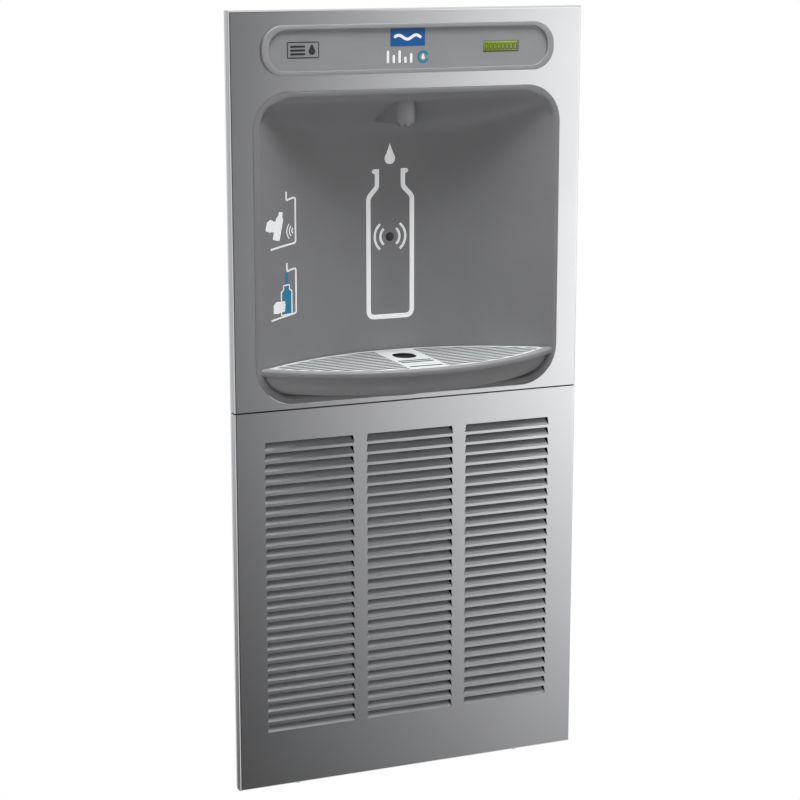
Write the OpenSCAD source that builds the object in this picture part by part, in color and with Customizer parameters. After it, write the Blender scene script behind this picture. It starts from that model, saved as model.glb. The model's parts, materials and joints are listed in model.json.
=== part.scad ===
// Recessed bottle filling station with a remote chiller, built into a wall.
// X runs along the wall to the right, Y runs into the wall, Z runs up.
// The origin is the centre of the wall opening, on the wall's finished face.

/* [Face panels] */
// Width of both face panels
face_w = 457.2; // [450:0.5:470]
// Height of the face, both panels and the seam between them
face_h = 957; // [945:1:975]
// How far the face stands in front of the wall
face_proud = 16; // [15:0.5:20]
// Sheet thickness of the panels
sheet_t = 1.2; // [1:0.1:1.5]
// Outer radius of the folded front edges
fold_r = 2.8; // [2:0.1:4]
// Height of the seam above the centre of the face
seam_z = 2; // [-2:0.5:4]
// Gap between the upper and the lower panel
seam_gap = 1.6; // [1:0.1:2]

/* [Louvres] */
// From the panel's side to the nearest louvres
louvre_side = 37.1; // [36.5:0.1:44]
// Plain strip between two columns of louvres
louvre_strip = 16; // [14:0.5:22]
// Number of slots in a column
louvre_n = 28; // [20:1:28]
// Distance from one slot to the next
louvre_pitch = 13.33; // [13:0.01:13.5]
// Height of one slot
louvre_slot = 8.3; // [7:0.1:9]
// From the seam down to the top of the first slot
louvre_drop = 38.7; // [34:0.1:44]
// How far a blade reaches back from the sheet
blade_reach = 6.6; // [5:0.1:7]
// How far a blade rises above the slot's lower edge
blade_rise = 6.6; // [4:0.1:8]

/* [Header] */
// From the panel's side to the oval header bezel
header_side = 39.6; // [36:0.1:46]
// Height of the header bezel
header_h = 58.4; // [54:0.2:62]
// From the face's top down to the bezel's centre
header_drop = 47; // [45:0.5:48]
// Corner radius of the bezel
header_r = 27.5; // [24:0.5:28]
// How far the bezel's rim stands out of the face
bezel_proud = 4; // [3:0.2:5]
// Width of the rim at the top and bottom
bezel_rim = 4.8; // [4:0.2:6]
// Width of the rim at the two ends
bezel_end = 8.2; // [7:0.2:9]
// Thickness of the label plate inside the rim
label_t = 1.6; // [1.2:0.1:2]
// Width of the counter's window
lcd_w = 46.6; // [44:0.2:50]
// Height of the counter's window
lcd_h = 12.6; // [11:0.2:14]
// Centre of the counter's window, to the right of the face's centre
lcd_x = 118.3; // [115:0.5:122]

/* [Alcove] */
// Width of the panel beside the alcove's opening
alcove_side = 28.1; // [27:0.1:30]
// From the seam up to the opening's lower edge
alcove_low = 6; // [5.5:0.1:7]
// Height of the alcove's opening
alcove_h = 376; // [374:0.5:378]
// Radius of the opening's upper corners
alcove_top_r = 45; // [42:1:50]
// Radius of the opening's lower corners
alcove_low_r = 50; // [46:1:52]
// Width of the lip round the opening
lip_w = 8; // [7:0.2:9]
// Depth of the alcove behind the face, at its middle
alcove_depth = 66; // [60:1:72]
// Wall of the moulded plastic parts
plastic_t = 3; // [2.5:0.1:3.5]
// Height of the rounded front edge of the hood
hood_edge = 15; // [12:0.5:18]
// How far the hood's rounded edge goes back
hood_round = 10; // [8:0.5:13]
// Fall of the hood's ceiling towards the back
hood_fall = 30; // [24:1:36]
// Height of the sensor's eye above the opening's lower edge
sensor_up = 188; // [170:1:210]
// Radius of the sensor's eye
eye_r = 5.6; // [5:0.1:7]

/* [Spout] */
// Width of the spout housing at its nose
spout_nose_w = 28; // [26:1:32]
// Width of the spout housing at the back wall
spout_root_w = 50; // [44:1:56]
// Distance of the nose behind the face
spout_set = 5; // [3:0.5:8]
// Height of the spout's underside above the opening's lower edge
spout_up = 332; // [326:1:336]
// Outer radius of the nozzle insert
nozzle_r = 8.6; // [7:0.1:10]
// Bore radius of the nozzle
nozzle_bore_r = 5; // [4:0.1:6]

/* [Basin and grate] */
// Reach of the basin's rim in front of the face
basin_reach = 74; // [66:1:78]
// Distance of the rim's ends from the sides of the opening
rim_side = 5; // [4:0.1:7]
// Height of the rim's top above the opening's lower edge
rim_up = 46; // [44:0.5:50]
// Height of the rim's front band
rim_h = 8; // [7:0.2:10]
// Width of the rim in front of the grate
rim_w = 8; // [7:0.2:10]
// Depth of the bowl below the rim band
bowl_h = 27; // [24:0.5:30]
// How far the bowl's wall stands in from the rim, at its top
bowl_in = 7; // [5:0.5:9]
// How far it stands in at its floor
bowl_taper = 24; // [20:1:28]
// Thickness of the grate
grate_t = 2.6; // [2:0.1:3.5]
// Distance between the grate's rows of slots
grate_pitch = 9.2; // [8.6:0.1:10]
// Width of one grate slot
grate_slot = 4.6; // [4:0.1:5]
// Half the width of the plain strip in the middle
strip_half = 26; // [24:0.5:28]
// Width of the drain hole in the grate
drain_hole_w = 28; // [26:0.5:30]
// Length of the drain hole in the grate
drain_hole_l = 34; // [32:0.5:38]
// Distance of the grate's drain hole behind the face
hole_set = 19; // [16:0.5:22]
// Distance of the waste behind the face
drain_set = 24; // [23.5:0.5:28]

/* [Waste] */
// Outer radius of the waste pipe, a standard one and a quarter inch tube
waste_r = 15.875; // [15.8:0.005:16]
// Wall of the waste pipe
waste_t = 1.6; // [1.2:0.1:2]
// Radius of the strainer's flange
strainer_r = 29; // [27:0.5:31]
// Height of the waste outlet below the face's centre
waste_z = -70; // [-76:1:-66]
// Bend radius of the waste pipe
waste_bend_r = 34; // [30:1:36]
// Length of pipe behind the frame, free for the wall's waste socket
waste_free = 26; // [24:1:30]

/* [Mounting frame] */
// Outer width of the in-wall frame
frame_w = 396.8; // [394:0.2:400]
// How far the in-wall frame's ends stand inside the face's ends
frame_inset = 18.5; // [17:0.5:20]
// Depth of the frame behind the wall's face
frame_d = 205; // [204:1:210]
// Sheet thickness of the frame
frame_t = 1.5; // [1.2:0.1:2]
// Width of the frame's folded flanges
flange_w = 20; // [16:1:22]
// Distance of the frame behind the wall's face
frame_set = 1; // [0.6:0.1:2]
// Radius of the screw holes for the wall's studs
stud_hole_r = 3.2; // [3:0.1:3.5]
// Distance between the stud holes along the depth
stud_dy = 120; // [110:1:130]
// Distance between the stud holes along the height
stud_dz = 760; // [740:1:780]
// Radius of the conduit hole for the mains supply
conduit_r = 11.1; // [11:0.05:11.3]
// Width of the straps across the back
strap_w = 30; // [24:1:36]
// Depth at which the service plate stands, from the wall's face
service_y = 150; // [148:1:154]

/* [Compressor] */
// Radius of the compressor's shell
comp_r = 68; // [60:1:70]
// Height of each half of the shell
comp_half_h = 78; // [72:1:80]
// Compressor's place, across
comp_x = -100; // [-104:1:-98]
// Compressor's place, in depth
comp_y = 116; // [112:1:120]
// Height of the rubber mounts
mount_h = 22; // [18:0.5:24]

/* [Condenser and fan] */
// Centre of the condenser and fan, across
cond_x = 98; // [94:1:100]
// Width of the condenser's fin pack
cond_w = 156; // [150:1:164]
// Height of the condenser
cond_h = 176; // [170:1:180]
// Depth of the fins
fin_d = 30; // [26:1:34]
// Number of fins
fin_n = 18; // [12:1:24]
// Thickness of a fin
fin_t = 0.8; // [0.6:0.1:1]
// Number of tube passes
pass_n = 8; // [6:2:8]
// Outer radius of the condenser's tube
cond_tube_r = 4; // [3.5:0.1:4.5]
// Distance of the condenser behind the wall's face
cond_set = 22; // [20:1:26]
// Radius of the fan
fan_r = 68; // [60:1:70]
// Number of fan blades
fan_n = 5; // [3:1:7]
// Radius of the fan motor
motor_r = 36; // [32:1:38]
// Length of the fan motor
motor_l = 48; // [40:1:52]

/* [Chilled water tank] */
// Radius of the tank
tank_r = 47; // [42:1:48]
// Height of the tank
tank_h = 138; // [130:1:140]
// Tank's place, across
tank_x = 104; // [102:1:106]
// Tank's place, in depth
tank_y = 112; // [110:1:114]
// Radius of the evaporator's tube
coil_tube_r = 3.2; // [3:0.1:3.5]
// Turns of the evaporator's tube round the tank
coil_n = 8; // [6:1:9]
// Thickness of the foam jacket
jacket_t = 16; // [14:1:18]

/* [Filter] */
// Radius of the filter cartridge
filter_r = 38; // [36:0.5:40]
// Length of the cartridge below its head
filter_h = 176; // [168:1:180]
// Filter's place, across
filter_x = -128; // [-132:1:-126]
// Filter's place, in depth
filter_y = 74; // [70:1:78]

/* [Water and valve] */
// Outer radius of the water tubes, a standard three eighths of an inch
tube_r = 4.76; // [4.7:0.01:4.8]
// Bore radius of the supply fitting
inlet_r = 4.9; // [4.85:0.01:5]
// Depth of the supply fitting's bore
inlet_l = 18; // [16:0.5:20]
// Valve's place, across
valve_x = 60; // [56:1:64]
// Height of the valve above the face's centre
valve_z = 262; // [255:1:270]
// Travel of the valve's plunger
plunger_travel = 3; // [2:0.1:3.5]

/* [Running gaps] */
// Gap between seated pieces and between pieces that move
seat_gap = 0.3; // [0.2:0.05:0.4]
// Radial gap between a shaft and its hole
shaft_gap = 0.05; // [0.02:0.01:0.1]

/* [Hidden] */
$fn = 64;
// Overrun of every cut
cut = 1;
// Fineness of a small round edge drawn with straight steps
arc_steps = 6;

// Sizes that follow the face
louvre_w = (face_w - 2 * louvre_side - 2 * louvre_strip) / 3;
column_pitch = louvre_w + louvre_strip;
header_w = face_w - 2 * header_side;
header_z = face_h / 2 - header_drop;
alcove_w = face_w - 2 * alcove_side;
rim_half = alcove_w / 2 - rim_side;
frame_h = face_h - 2 * frame_inset;

// Planes that the pieces share
face_y = -face_proud;
sheet_back = face_y + sheet_t;
upper_z = [seam_z + seam_gap / 2, face_h / 2];
lower_z = [-face_h / 2, seam_z - seam_gap / 2];
alcove_z = [seam_z + alcove_low, seam_z + alcove_low + alcove_h];
frame_x = frame_w / 2;
frame_y = [frame_set, frame_set + frame_d];
frame_z = frame_h / 2;
inner_x = frame_x - frame_t;
inner_z = frame_z - frame_t;

// Plan of the alcove: one arc from lip to lip
cave_half = alcove_w / 2 - lip_w;
cave_r = (pow(cave_half, 2) + pow(alcove_depth, 2)) / (2 * alcove_depth);
cave_y = face_y + alcove_depth - cave_r;
back_y = face_y + alcove_depth;
// Height of the lip above the hood's round edge, and how far the lip stands out of the sheet
lip_top = 2;
lip_proud = 0.6;
hood_z = alcove_z[1] - hood_edge - lip_top;
// Width of the shell's flange behind the sheet
shell_flange = 11;

// Plan of the basin: a front arc that meets the alcove's arc
rim_z = alcove_z[0] + rim_up;
rim_r = (pow(rim_half, 2) + pow(basin_reach, 2)) / (2 * basin_reach);
rim_y = face_y - basin_reach + rim_r;
bowl_z = [rim_z - rim_h - bowl_h, rim_z - rim_h];
drain_y = face_y + drain_set;
hole_y = face_y + hole_set;

// Two limits in rising order
function span(a, b) = [min(a, b), max(a, b)];
// Stretch between two values
function mix(a, b, t) = a + (b - a) * t;
// Point of a smooth curve through p1 and p2, with p0 and p3 beyond them
function smooth(p0, p1, p2, p3, t) =
    0.5 * (2 * p1 + (p2 - p0) * t + (2 * p0 - 5 * p1 + 4 * p2 - p3) * t * t
        + (3 * p1 - p0 - 3 * p2 + p3) * t * t * t);
// Smooth route through a list of points, with n steps for each stretch and straight ends
function route(p, n) = let (last = len(p) - 1) concat([p[0]],
    [for (i = [1 : last - 2]) for (k = [0 : n - 1])
        smooth(p[i - 1], p[i], p[i + 1], p[i + 2], k / n)],
    [p[last - 1], p[last]]);
function unit(v) = v / norm(v);

// Solid tube of radius r along a list of points
module sweep(points, r, sides = 8) {
    last = len(points) - 1;
    function dir(i) = unit(points[min(i + 1, last)] - points[max(i - 1, 0)]);
    function side(i) = let (d = dir(i), up = abs(d[2]) > 0.8 ? [0, 1, 0] : [0, 0, 1])
        unit(cross(d, up));
    // Carried sideways direction, so that the tube does not twist
    function carry(i, s) = unit(s - dir(i) * (s * dir(i)));
    sides_at = [for (i = 0, s = side(0); i <= last; i = i + 1, s = i <= last ? carry(i, s) : s) s];
    rings = [for (i = [0 : last]) let (d = dir(i), u = sides_at[i], w = cross(d, u))
        for (k = [0 : sides - 1]) points[i] + r * (cos(360 * k / sides) * u + sin(360 * k / sides) * w)];
    walls = [for (i = [0 : last - 1]) for (k = [0 : sides - 1]) let (
            a = i * sides + k, b = i * sides + (k + 1) % sides) each
        [[a, a + sides, b], [b, a + sides, b + sides]]];
    polyhedron(rings, concat(walls,
        [for (k = [1 : sides - 2]) [0, k, k + 1]],
        [for (k = [1 : sides - 2]) [last * sides, last * sides + k + 1, last * sides + k]]));
}

// Box from its two limits along each axis
module block(x, y, z) {
    translate([x[0], y[0], z[0]]) cube([x[1] - x[0], y[1] - y[0], z[1] - z[0]]);
}
// Extrudes an outline drawn in X and Z from y[0] to y[1]
module along_y(y) {
    translate([0, y[1], 0]) rotate([90, 0, 0]) linear_extrude(y[1] - y[0]) children();
}
// Extrudes an outline drawn in Y and Z from x[0] to x[1]
module along_x(x) {
    translate([x[0], 0, 0]) rotate([90, 0, 90]) linear_extrude(x[1] - x[0]) children();
}
// Round bar along Y through (x, z)
module bar_y(x, z, y, r) {
    translate([x, y[1], z]) rotate([90, 0, 0]) cylinder(h = y[1] - y[0], r = r);
}
// Round bar along Z through (x, y)
module bar_z(x, y, z, r) {
    translate([x, y, z[0]]) cylinder(h = z[1] - z[0], r = r);
}
// Round bar along X through (y, z)
module bar_x(y, z, x, r) {
    translate([x[0], y, z]) rotate([0, 90, 0]) cylinder(h = x[1] - x[0], r = r);
}
// Upright rounded outline with one radius below and another above
module outline(x, z, low_r, top_r) {
    middle = (z[0] + z[1]) / 2;
    translate([x[0], z[0] + low_r]) square([x[1] - x[0], z[1] - z[0] - low_r - top_r]);
    translate([x[0] + low_r, z[0]]) square([x[1] - x[0] - 2 * low_r, middle - z[0]]);
    translate([x[0] + top_r, middle]) square([x[1] - x[0] - 2 * top_r, z[1] - middle]);
    for (s = [0, 1]) {
        translate([x[s] + (1 - 2 * s) * low_r, z[0] + low_r]) circle(low_r);
        translate([x[s] + (1 - 2 * s) * top_r, z[1] - top_r]) circle(top_r);
    }
}
// Outline with its two front corners rounded: a runs across, b from front to back
module fronted(a, b, r) {
    translate([a[0], b[0] + r]) square([a[1] - a[0], b[1] - b[0] - r]);
    translate([a[0] + r, b[0]]) square([a[1] - a[0] - 2 * r, 2 * r]);
    for (x = [a[0] + r, a[1] - r]) translate([x, b[0] + r]) circle(r);
}
// Block whose four front edges are rounded
module soft_block(x, y, z, r) {
    intersection() {
        translate([0, 0, z[0]]) linear_extrude(z[1] - z[0]) fronted(x, y, r);
        along_x(x) mirror([1, -1]) fronted(z, y, r);
    }
}
// Folded sheet tray, open towards the wall
module tray(x, z) {
    difference() {
        soft_block(x, [face_y, 0], z, fold_r);
        soft_block([x[0] + sheet_t, x[1] - sheet_t], [sheet_back, cut],
            [z[0] + sheet_t, z[1] - sheet_t], fold_r - sheet_t);
    }
}

// Opening's outline, drawn in by inset
module alcove_outline(inset) {
    outline([-alcove_w / 2 + inset, alcove_w / 2 - inset], [alcove_z[0] + inset, alcove_z[1] - inset],
        alcove_low_r - inset, alcove_top_r - inset);
}
// Outline of the alcove inside its lip, grown by g
module cave_front(g) {
    outline([-cave_half - g, cave_half + g], [alcove_z[0] + lip_w - lip_top - g, alcove_z[1] - lip_top + g],
        alcove_low_r - lip_w + g, alcove_top_r - lip_w + g);
}
// Side outline of the alcove, with the hood's round edge and sloping ceiling, grown by g
module cave_side(g) {
    front = face_y - basin_reach;
    slope = hood_fall / (alcove_depth - hood_round);
    polygon(concat(
        [[front, alcove_z[0] - g], [front, hood_z + hood_edge + g]],
        [for (k = [0 : arc_steps]) let (a = 90 * k / arc_steps)
            [face_y + hood_round * (1 - cos(a)), hood_z + g + hood_edge * (1 - sin(a))]],
        [[back_y + 2 * plastic_t, hood_z + g - slope * (alcove_depth - hood_round + 2 * plastic_t)],
            [back_y + 2 * plastic_t, alcove_z[0] - g]]));
}
// Space inside the alcove, grown by g, from y_front inwards
module cave(g, y_front) {
    intersection() {
        translate([0, cave_y, alcove_z[0] - cut]) cylinder(h = alcove_h + 2 * cut, r = cave_r + g, $fn = 180);
        along_y([y_front, back_y + 2 * plastic_t]) cave_front(g);
        along_x([-alcove_w / 2, alcove_w / 2]) cave_side(g * 1.15);
    }
}
// Plan of the basin, drawn in by front at the rim and by rear at the back wall
module basin_plan(front, rear) {
    intersection() {
        translate([0, rim_y]) circle(rim_r - front, $fn = 180);
        translate([0, cave_y]) circle(cave_r - rear, $fn = 180);
    }
}

// Front panels
module alcove_cutout() {
    along_y([face_y - cut, sheet_back + cut]) alcove_outline(0);
}
// Notch in a panel's folded edge, open towards the wall, where the waste passes
module waste_notch(z) {
    half = waste_r + tail_gap;
    block([-half, half], [drain_y - half, cut], [z - cut, z + sheet_t + cut]);
}
lcd_z = header_z;
lcd_margin = 5;
module upper_panel() {
    color([0.72, 0.73, 0.75]) difference() {
        tray([-face_w / 2, face_w / 2], upper_z);
        alcove_cutout();
        waste_notch(upper_z[0]);
        block([lcd_x - lcd_w / 2 - lcd_margin, lcd_x + lcd_w / 2 + lcd_margin],
            [face_y - cut, sheet_back + cut],
            [lcd_z - lcd_h / 2 - lcd_margin, lcd_z + lcd_h / 2 + lcd_margin]);
    }
}
louvre_z = lower_z[1] - louvre_drop + seam_gap / 2;
access_x = 150;
access_screw_r = 2.5;
access_y = -7;
// Outline of one blade, which rises behind its slot from the slot's lower edge
module blade_outline() {
    polygon([[face_y, 0], [face_y + blade_reach, blade_rise],
        [face_y + blade_reach + sheet_t, blade_rise - sheet_t / 2], [sheet_back, -sheet_t],
        [sheet_back, -2 * sheet_t], [face_y, -2 * sheet_t]]);
}
module lower_panel() {
    color([0.66, 0.67, 0.69]) union() {
        difference() {
            tray([-face_w / 2, face_w / 2], lower_z);
            for (c = [-1 : 1]) for (i = [0 : louvre_n - 1])
                block([c * column_pitch - louvre_w / 2, c * column_pitch + louvre_w / 2],
                    [face_y - cut, sheet_back + cut],
                    [louvre_z - i * louvre_pitch - louvre_slot, louvre_z - i * louvre_pitch]);
            for (s = [-1, 1]) bar_z(s * access_x, access_y, [lower_z[0] - cut, lower_z[0] + sheet_t + cut],
                access_screw_r + seat_gap);
            waste_notch(lower_z[1] - sheet_t);
        }
        for (c = [-1 : 1]) for (i = [0 : louvre_n - 1])
            translate([0, 0, louvre_z - i * louvre_pitch - louvre_slot])
                along_x([c * column_pitch - louvre_w / 2, c * column_pitch + louvre_w / 2]) blade_outline();
    }
}

// Header
bezel_x = [-header_w / 2, header_w / 2];
bezel_z = [header_z - header_h / 2, header_z + header_h / 2];
module header_outline(side, top) {
    outline([bezel_x[0] + side, bezel_x[1] - side], [bezel_z[0] + top, bezel_z[1] - top],
        header_r - top, header_r - top);
}
module header_bezel() {
    color([0.55, 0.56, 0.57]) difference() {
        along_y([face_y - bezel_proud, face_y]) header_outline(0, 0);
        along_y([face_y - bezel_proud - cut, face_y + cut]) header_outline(bezel_end, bezel_rim);
    }
}
module header_label() {
    color([0.6, 0.61, 0.62]) difference() {
        along_y([face_y - label_t, face_y])
            header_outline(bezel_end + seat_gap, bezel_rim + seat_gap);
        lcd_slot(0, [face_y - label_t - cut, face_y + cut]);
    }
}
// Block of the counter window's size, drawn in by inset
module lcd_slot(inset, y) {
    block([lcd_x - lcd_w / 2 + inset, lcd_x + lcd_w / 2 - inset], y,
        [lcd_z - lcd_h / 2 + inset, lcd_z + lcd_h / 2 - inset]);
}
module lcd_window() {
    color([0.55, 0.7, 0.15]) lcd_slot(seat_gap, [face_y - label_t, face_y]);
}
lcd_depth = 9;
board_t = 1.6;
module lcd_module() {
    color([0.15, 0.4, 0.2]) union() {
        lcd_slot(-lcd_margin + 1.5 * seat_gap, [face_y, face_y + lcd_depth]);
        lcd_slot(-2 * lcd_margin, [face_y + lcd_depth, face_y + lcd_depth + board_t]);
        for (s = [-1, 1])
            bar_y(lcd_x + s * (lcd_w / 2 + lcd_margin + 2 * board_t), lcd_z,
                [sheet_back, face_y + lcd_depth], board_t);
    }
}

// Alcove
tail_gap = 2;
tail_hole_r = waste_r + tail_gap;
sensor_z = alcove_z[0] + sensor_up;
spout_z = alcove_z[0] + spout_up;
spout_bore_up = 15;
spout_bore_z = spout_z + spout_bore_up;
spout_bore_r = tube_r + seat_gap;
module alcove_shell() {
    color([0.45, 0.46, 0.47]) difference() {
        union() {
            along_y([face_y - lip_proud, sheet_back + plastic_t]) alcove_outline(seat_gap);
            intersection() {
                along_y([sheet_back, sheet_back + plastic_t]) alcove_outline(-shell_flange);
                block([-face_w / 2, face_w / 2], [face_y, 0], [upper_z[0] + fold_r + seat_gap, bezel_z[0]]);
            }
            cave(plastic_t, sheet_back);
        }
        cave(0, face_y - basin_reach);
        bar_y(0, sensor_z, [0, back_y + 2 * plastic_t], eye_r + seat_gap);
        bar_y(0, spout_bore_z, [0, back_y + 2 * plastic_t], spout_bore_r);
        bar_z(0, drain_y, [alcove_z[0] - cut, bowl_z[0]], tail_hole_r);
    }
}
module spout_housing() {
    nose_y = face_y + spout_set;
    color([0.42, 0.43, 0.44]) difference() {
        intersection() {
            translate([0, 0, spout_z]) linear_extrude(2 * hood_fall) union() {
                translate([0, nose_y + spout_nose_w / 2]) circle(spout_nose_w / 2);
                polygon([[-spout_nose_w / 2, nose_y + spout_nose_w / 2],
                    [spout_nose_w / 2, nose_y + spout_nose_w / 2],
                    [spout_root_w / 2, back_y + cut], [-spout_root_w / 2, back_y + cut]]);
            }
            cave(-seat_gap, face_y);
        }
        bar_z(0, nozzle_y, [spout_z - cut, spout_bore_z], nozzle_r + seat_gap);
        bar_y(0, spout_bore_z, [nozzle_y, back_y + cut], spout_bore_r);
    }
}
nozzle_y = face_y + spout_set + spout_nose_w / 2;
nozzle_drop = 2;
nozzle_h = 12;
module spout_nozzle() {
    color([0.3, 0.3, 0.32]) difference() {
        bar_z(0, nozzle_y, [spout_z - nozzle_drop, spout_z - nozzle_drop + nozzle_h], nozzle_r);
        bar_z(0, nozzle_y, [spout_z - nozzle_drop - cut, spout_z + nozzle_h], nozzle_bore_r);
    }
}
module sensor_lens() {
    color([0.08, 0.08, 0.09]) union() {
        bar_y(0, sensor_z, [back_y - seat_gap, back_y + plastic_t + seat_gap], eye_r);
        bar_y(0, sensor_z, [back_y + plastic_t + seat_gap, back_y + 2 * plastic_t], 1.5 * eye_r);
    }
}
sensor_half = 16;
sensor_d = 12;
module sensor_module() {
    y0 = back_y + 2 * plastic_t;
    color([0.12, 0.35, 0.2]) union() {
        block([-sensor_half, sensor_half], [y0, y0 + sensor_d],
            [sensor_z - sensor_half, sensor_z + sensor_half]);
        for (s = [-1, 1]) bar_y(s * (sensor_half - 2 * board_t), sensor_z + sensor_half - 2 * board_t,
            [back_y + plastic_t + seat_gap, y0], board_t);
    }
}

// Basin, grate and waste
grate_side = 2;
grate_z = [rim_z - grate_t - seat_gap, rim_z - seat_gap];
module basin_bowl() {
    ledge_z = grate_z[0] - seat_gap;
    color([0.4, 0.41, 0.42]) difference() {
        union() {
            translate([0, 0, rim_z - rim_h]) linear_extrude(rim_h) basin_plan(0, seat_gap);
            hull() {
                translate([0, 0, bowl_z[1]]) linear_extrude(cut) basin_plan(bowl_in, seat_gap);
                translate([0, 0, bowl_z[0]]) linear_extrude(cut) basin_plan(bowl_taper, plastic_t);
            }
        }
        translate([0, 0, ledge_z]) linear_extrude(rim_h) basin_plan(rim_w, seat_gap * 2 + grate_side / 2);
        hull() {
            translate([0, 0, bowl_z[1] + rim_h]) linear_extrude(cut)
                basin_plan(bowl_in + 2 * plastic_t, 2 * plastic_t);
            translate([0, 0, bowl_z[0] + plastic_t]) linear_extrude(cut)
                basin_plan(bowl_taper + plastic_t, 2 * plastic_t);
        }
        bar_z(0, drain_y, [bowl_z[0] - cut, bowl_z[1]], waste_r + seat_gap);
        difference() {
            block([-rim_half, rim_half], [face_y - lip_proud - seat_gap, back_y], [alcove_z[0], rim_z + cut]);
            along_y([face_y - rim_h, back_y + cut]) cave_front(-seat_gap);
        }
    }
}
// Rows of slots, counted from the row beside the drain
module grate_slots() {
    first = floor((face_y - basin_reach - hole_y) / grate_pitch);
    last = ceil((back_y - hole_y) / grate_pitch);
    for (k = [first : last]) for (s = [-1, 1])
        slot_run(span(s * strip_half, s * rim_half), hole_y + (k + 0.5) * grate_pitch);
    for (k = [-4, -5, -8])
        slot_run([-strip_half + grate_slot, strip_half - grate_slot], hole_y + (k + 0.5) * grate_pitch);
}
module slot_run(x, y) {
    translate([x[0], y - grate_slot / 2]) square([x[1] - x[0], grate_slot]);
}
grate_border = 9;
module drip_grate() {
    color([0.82, 0.83, 0.84]) translate([0, 0, grate_z[0]]) linear_extrude(grate_t) difference() {
        basin_plan(rim_w + grate_side / 4, seat_gap * 2 + grate_side);
        intersection() {
            grate_slots();
            basin_plan(rim_w + grate_border / 2, grate_border);
        }
        for (s = [-1, 1]) translate([0, hole_y + s * (drain_hole_l - drain_hole_w) / 2])
            circle(drain_hole_w / 2);
        translate([0, hole_y]) square([drain_hole_w, drain_hole_l - drain_hole_w], center = true);
        translate([rim_half - 3 * grate_border / 2, face_y + grate_slot]) circle(grate_slot / 2);
    }
}
strainer_t = 2;
nut_wall = 4;
nut_h = 14;
tail_drop = 22;
tail_z = alcove_z[0] - tail_drop;
module drain_strainer() {
    z0 = bowl_z[0] + plastic_t;
    color([0.2, 0.26, 0.2]) difference() {
        union() {
            bar_z(0, drain_y, [z0, z0 + strainer_t], strainer_r);
            bar_z(0, drain_y, [tail_z, z0 + strainer_t / 2], waste_r);
        }
        bar_z(0, drain_y, [tail_z - cut, z0], waste_r - waste_t);
        for (k = [-1 : 1]) block([-0.7 * waste_r, 0.7 * waste_r],
            [drain_y + k * grate_pitch - grate_slot / 2, drain_y + k * grate_pitch + grate_slot / 2],
            [z0 - cut, z0 + strainer_t + cut]);
    }
}
module drain_nut() {
    color([0.85, 0.85, 0.86]) difference() {
        translate([0, drain_y, tail_z - nut_h / 2]) cylinder(h = nut_h, r = waste_r + nut_wall, $fn = 8);
        bar_z(0, drain_y, [tail_z - nut_h, tail_z + nut_h], waste_r + seat_gap);
    }
}
module waste_pipe() {
    end_y = frame_y[1] + waste_free;
    color([0.86, 0.86, 0.87]) difference() {
        union() {
            waste_run(waste_r, 0, end_y);
            bar_y(0, waste_z, [frame_y[1] - 2 * waste_t, frame_y[1]], waste_r + waste_t);
        }
        waste_run(waste_r - waste_t, cut, end_y + cut);
    }
}
// The waste pipe's run: down from the strainer, round a bend and out of the back
module waste_run(r, over, end_y) {
    top = tail_z - seat_gap;
    bar_z(0, drain_y, [waste_z + waste_bend_r, top + over], r);
    translate([0, drain_y + waste_bend_r, waste_z + waste_bend_r]) rotate([0, -90, 0]) rotate([0, 0, 180])
        rotate_extrude(angle = 90) translate([waste_bend_r, 0]) circle(r);
    bar_y(0, waste_z, [drain_y + waste_bend_r, end_y], r);
}

// Mounting frame
inlet_x = -178;
inlet_y = 30;
bulkhead_r = 9;
bulkhead_nut = 3;
hook_x = 60;
hook_half = 10;
module frame_side(s) {
    difference() {
        union() {
            block(span(s * inner_x, s * frame_x), frame_y, [-frame_z, frame_z]);
            for (y = [frame_y[0], frame_y[1] - frame_t])
                block(span(s * (frame_x - flange_w), s * frame_x), [y, y + frame_t], [-frame_z, frame_z]);
        }
        for (dy = [-0.5, 0.5]) for (dz = [-0.5, 0.5])
            bar_x(stud_y + dy * stud_dy, dz * stud_dz, span(s * (inner_x - cut), s * (frame_x + cut)),
                stud_hole_r);
    }
}
stud_y = (frame_y[0] + frame_y[1]) / 2;
conduit_z = 290;
module frame_left() {
    color([0.7, 0.72, 0.73]) difference() {
        frame_side(-1);
        bar_x(stud_y, conduit_z, [-frame_x - cut, -inner_x + cut], conduit_r);
    }
}
module frame_right() {
    color([0.7, 0.72, 0.73]) frame_side(1);
}
// Top or bottom plate with its front flange
module frame_end(s) {
    y = [frame_y[0] + frame_t, frame_y[1] - frame_t];
    block([-inner_x, inner_x], y, span(s * inner_z, s * frame_z));
    block([-inner_x, inner_x], [y[0], y[0] + frame_t], span(s * (frame_z - flange_w), s * frame_z));
}
hook_z = frame_z - flange_w / 2;
module frame_top() {
    color([0.7, 0.72, 0.73]) difference() {
        frame_end(1);
        for (s = [-1, 1]) block([s * hook_x - hook_half - frame_t, s * hook_x + hook_half + frame_t],
            [0, flange_w], [hook_z - seat_gap, hook_z + 2 * frame_t]);
    }
}
module frame_bottom() {
    color([0.7, 0.72, 0.73]) difference() {
        frame_end(-1);
        bar_z(inlet_x, inlet_y, [-frame_z - cut, -inner_z + cut], bulkhead_r + seat_gap);
    }
}
strap_y = [frame_y[1] - 2 * frame_t, frame_y[1] - frame_t];
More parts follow.
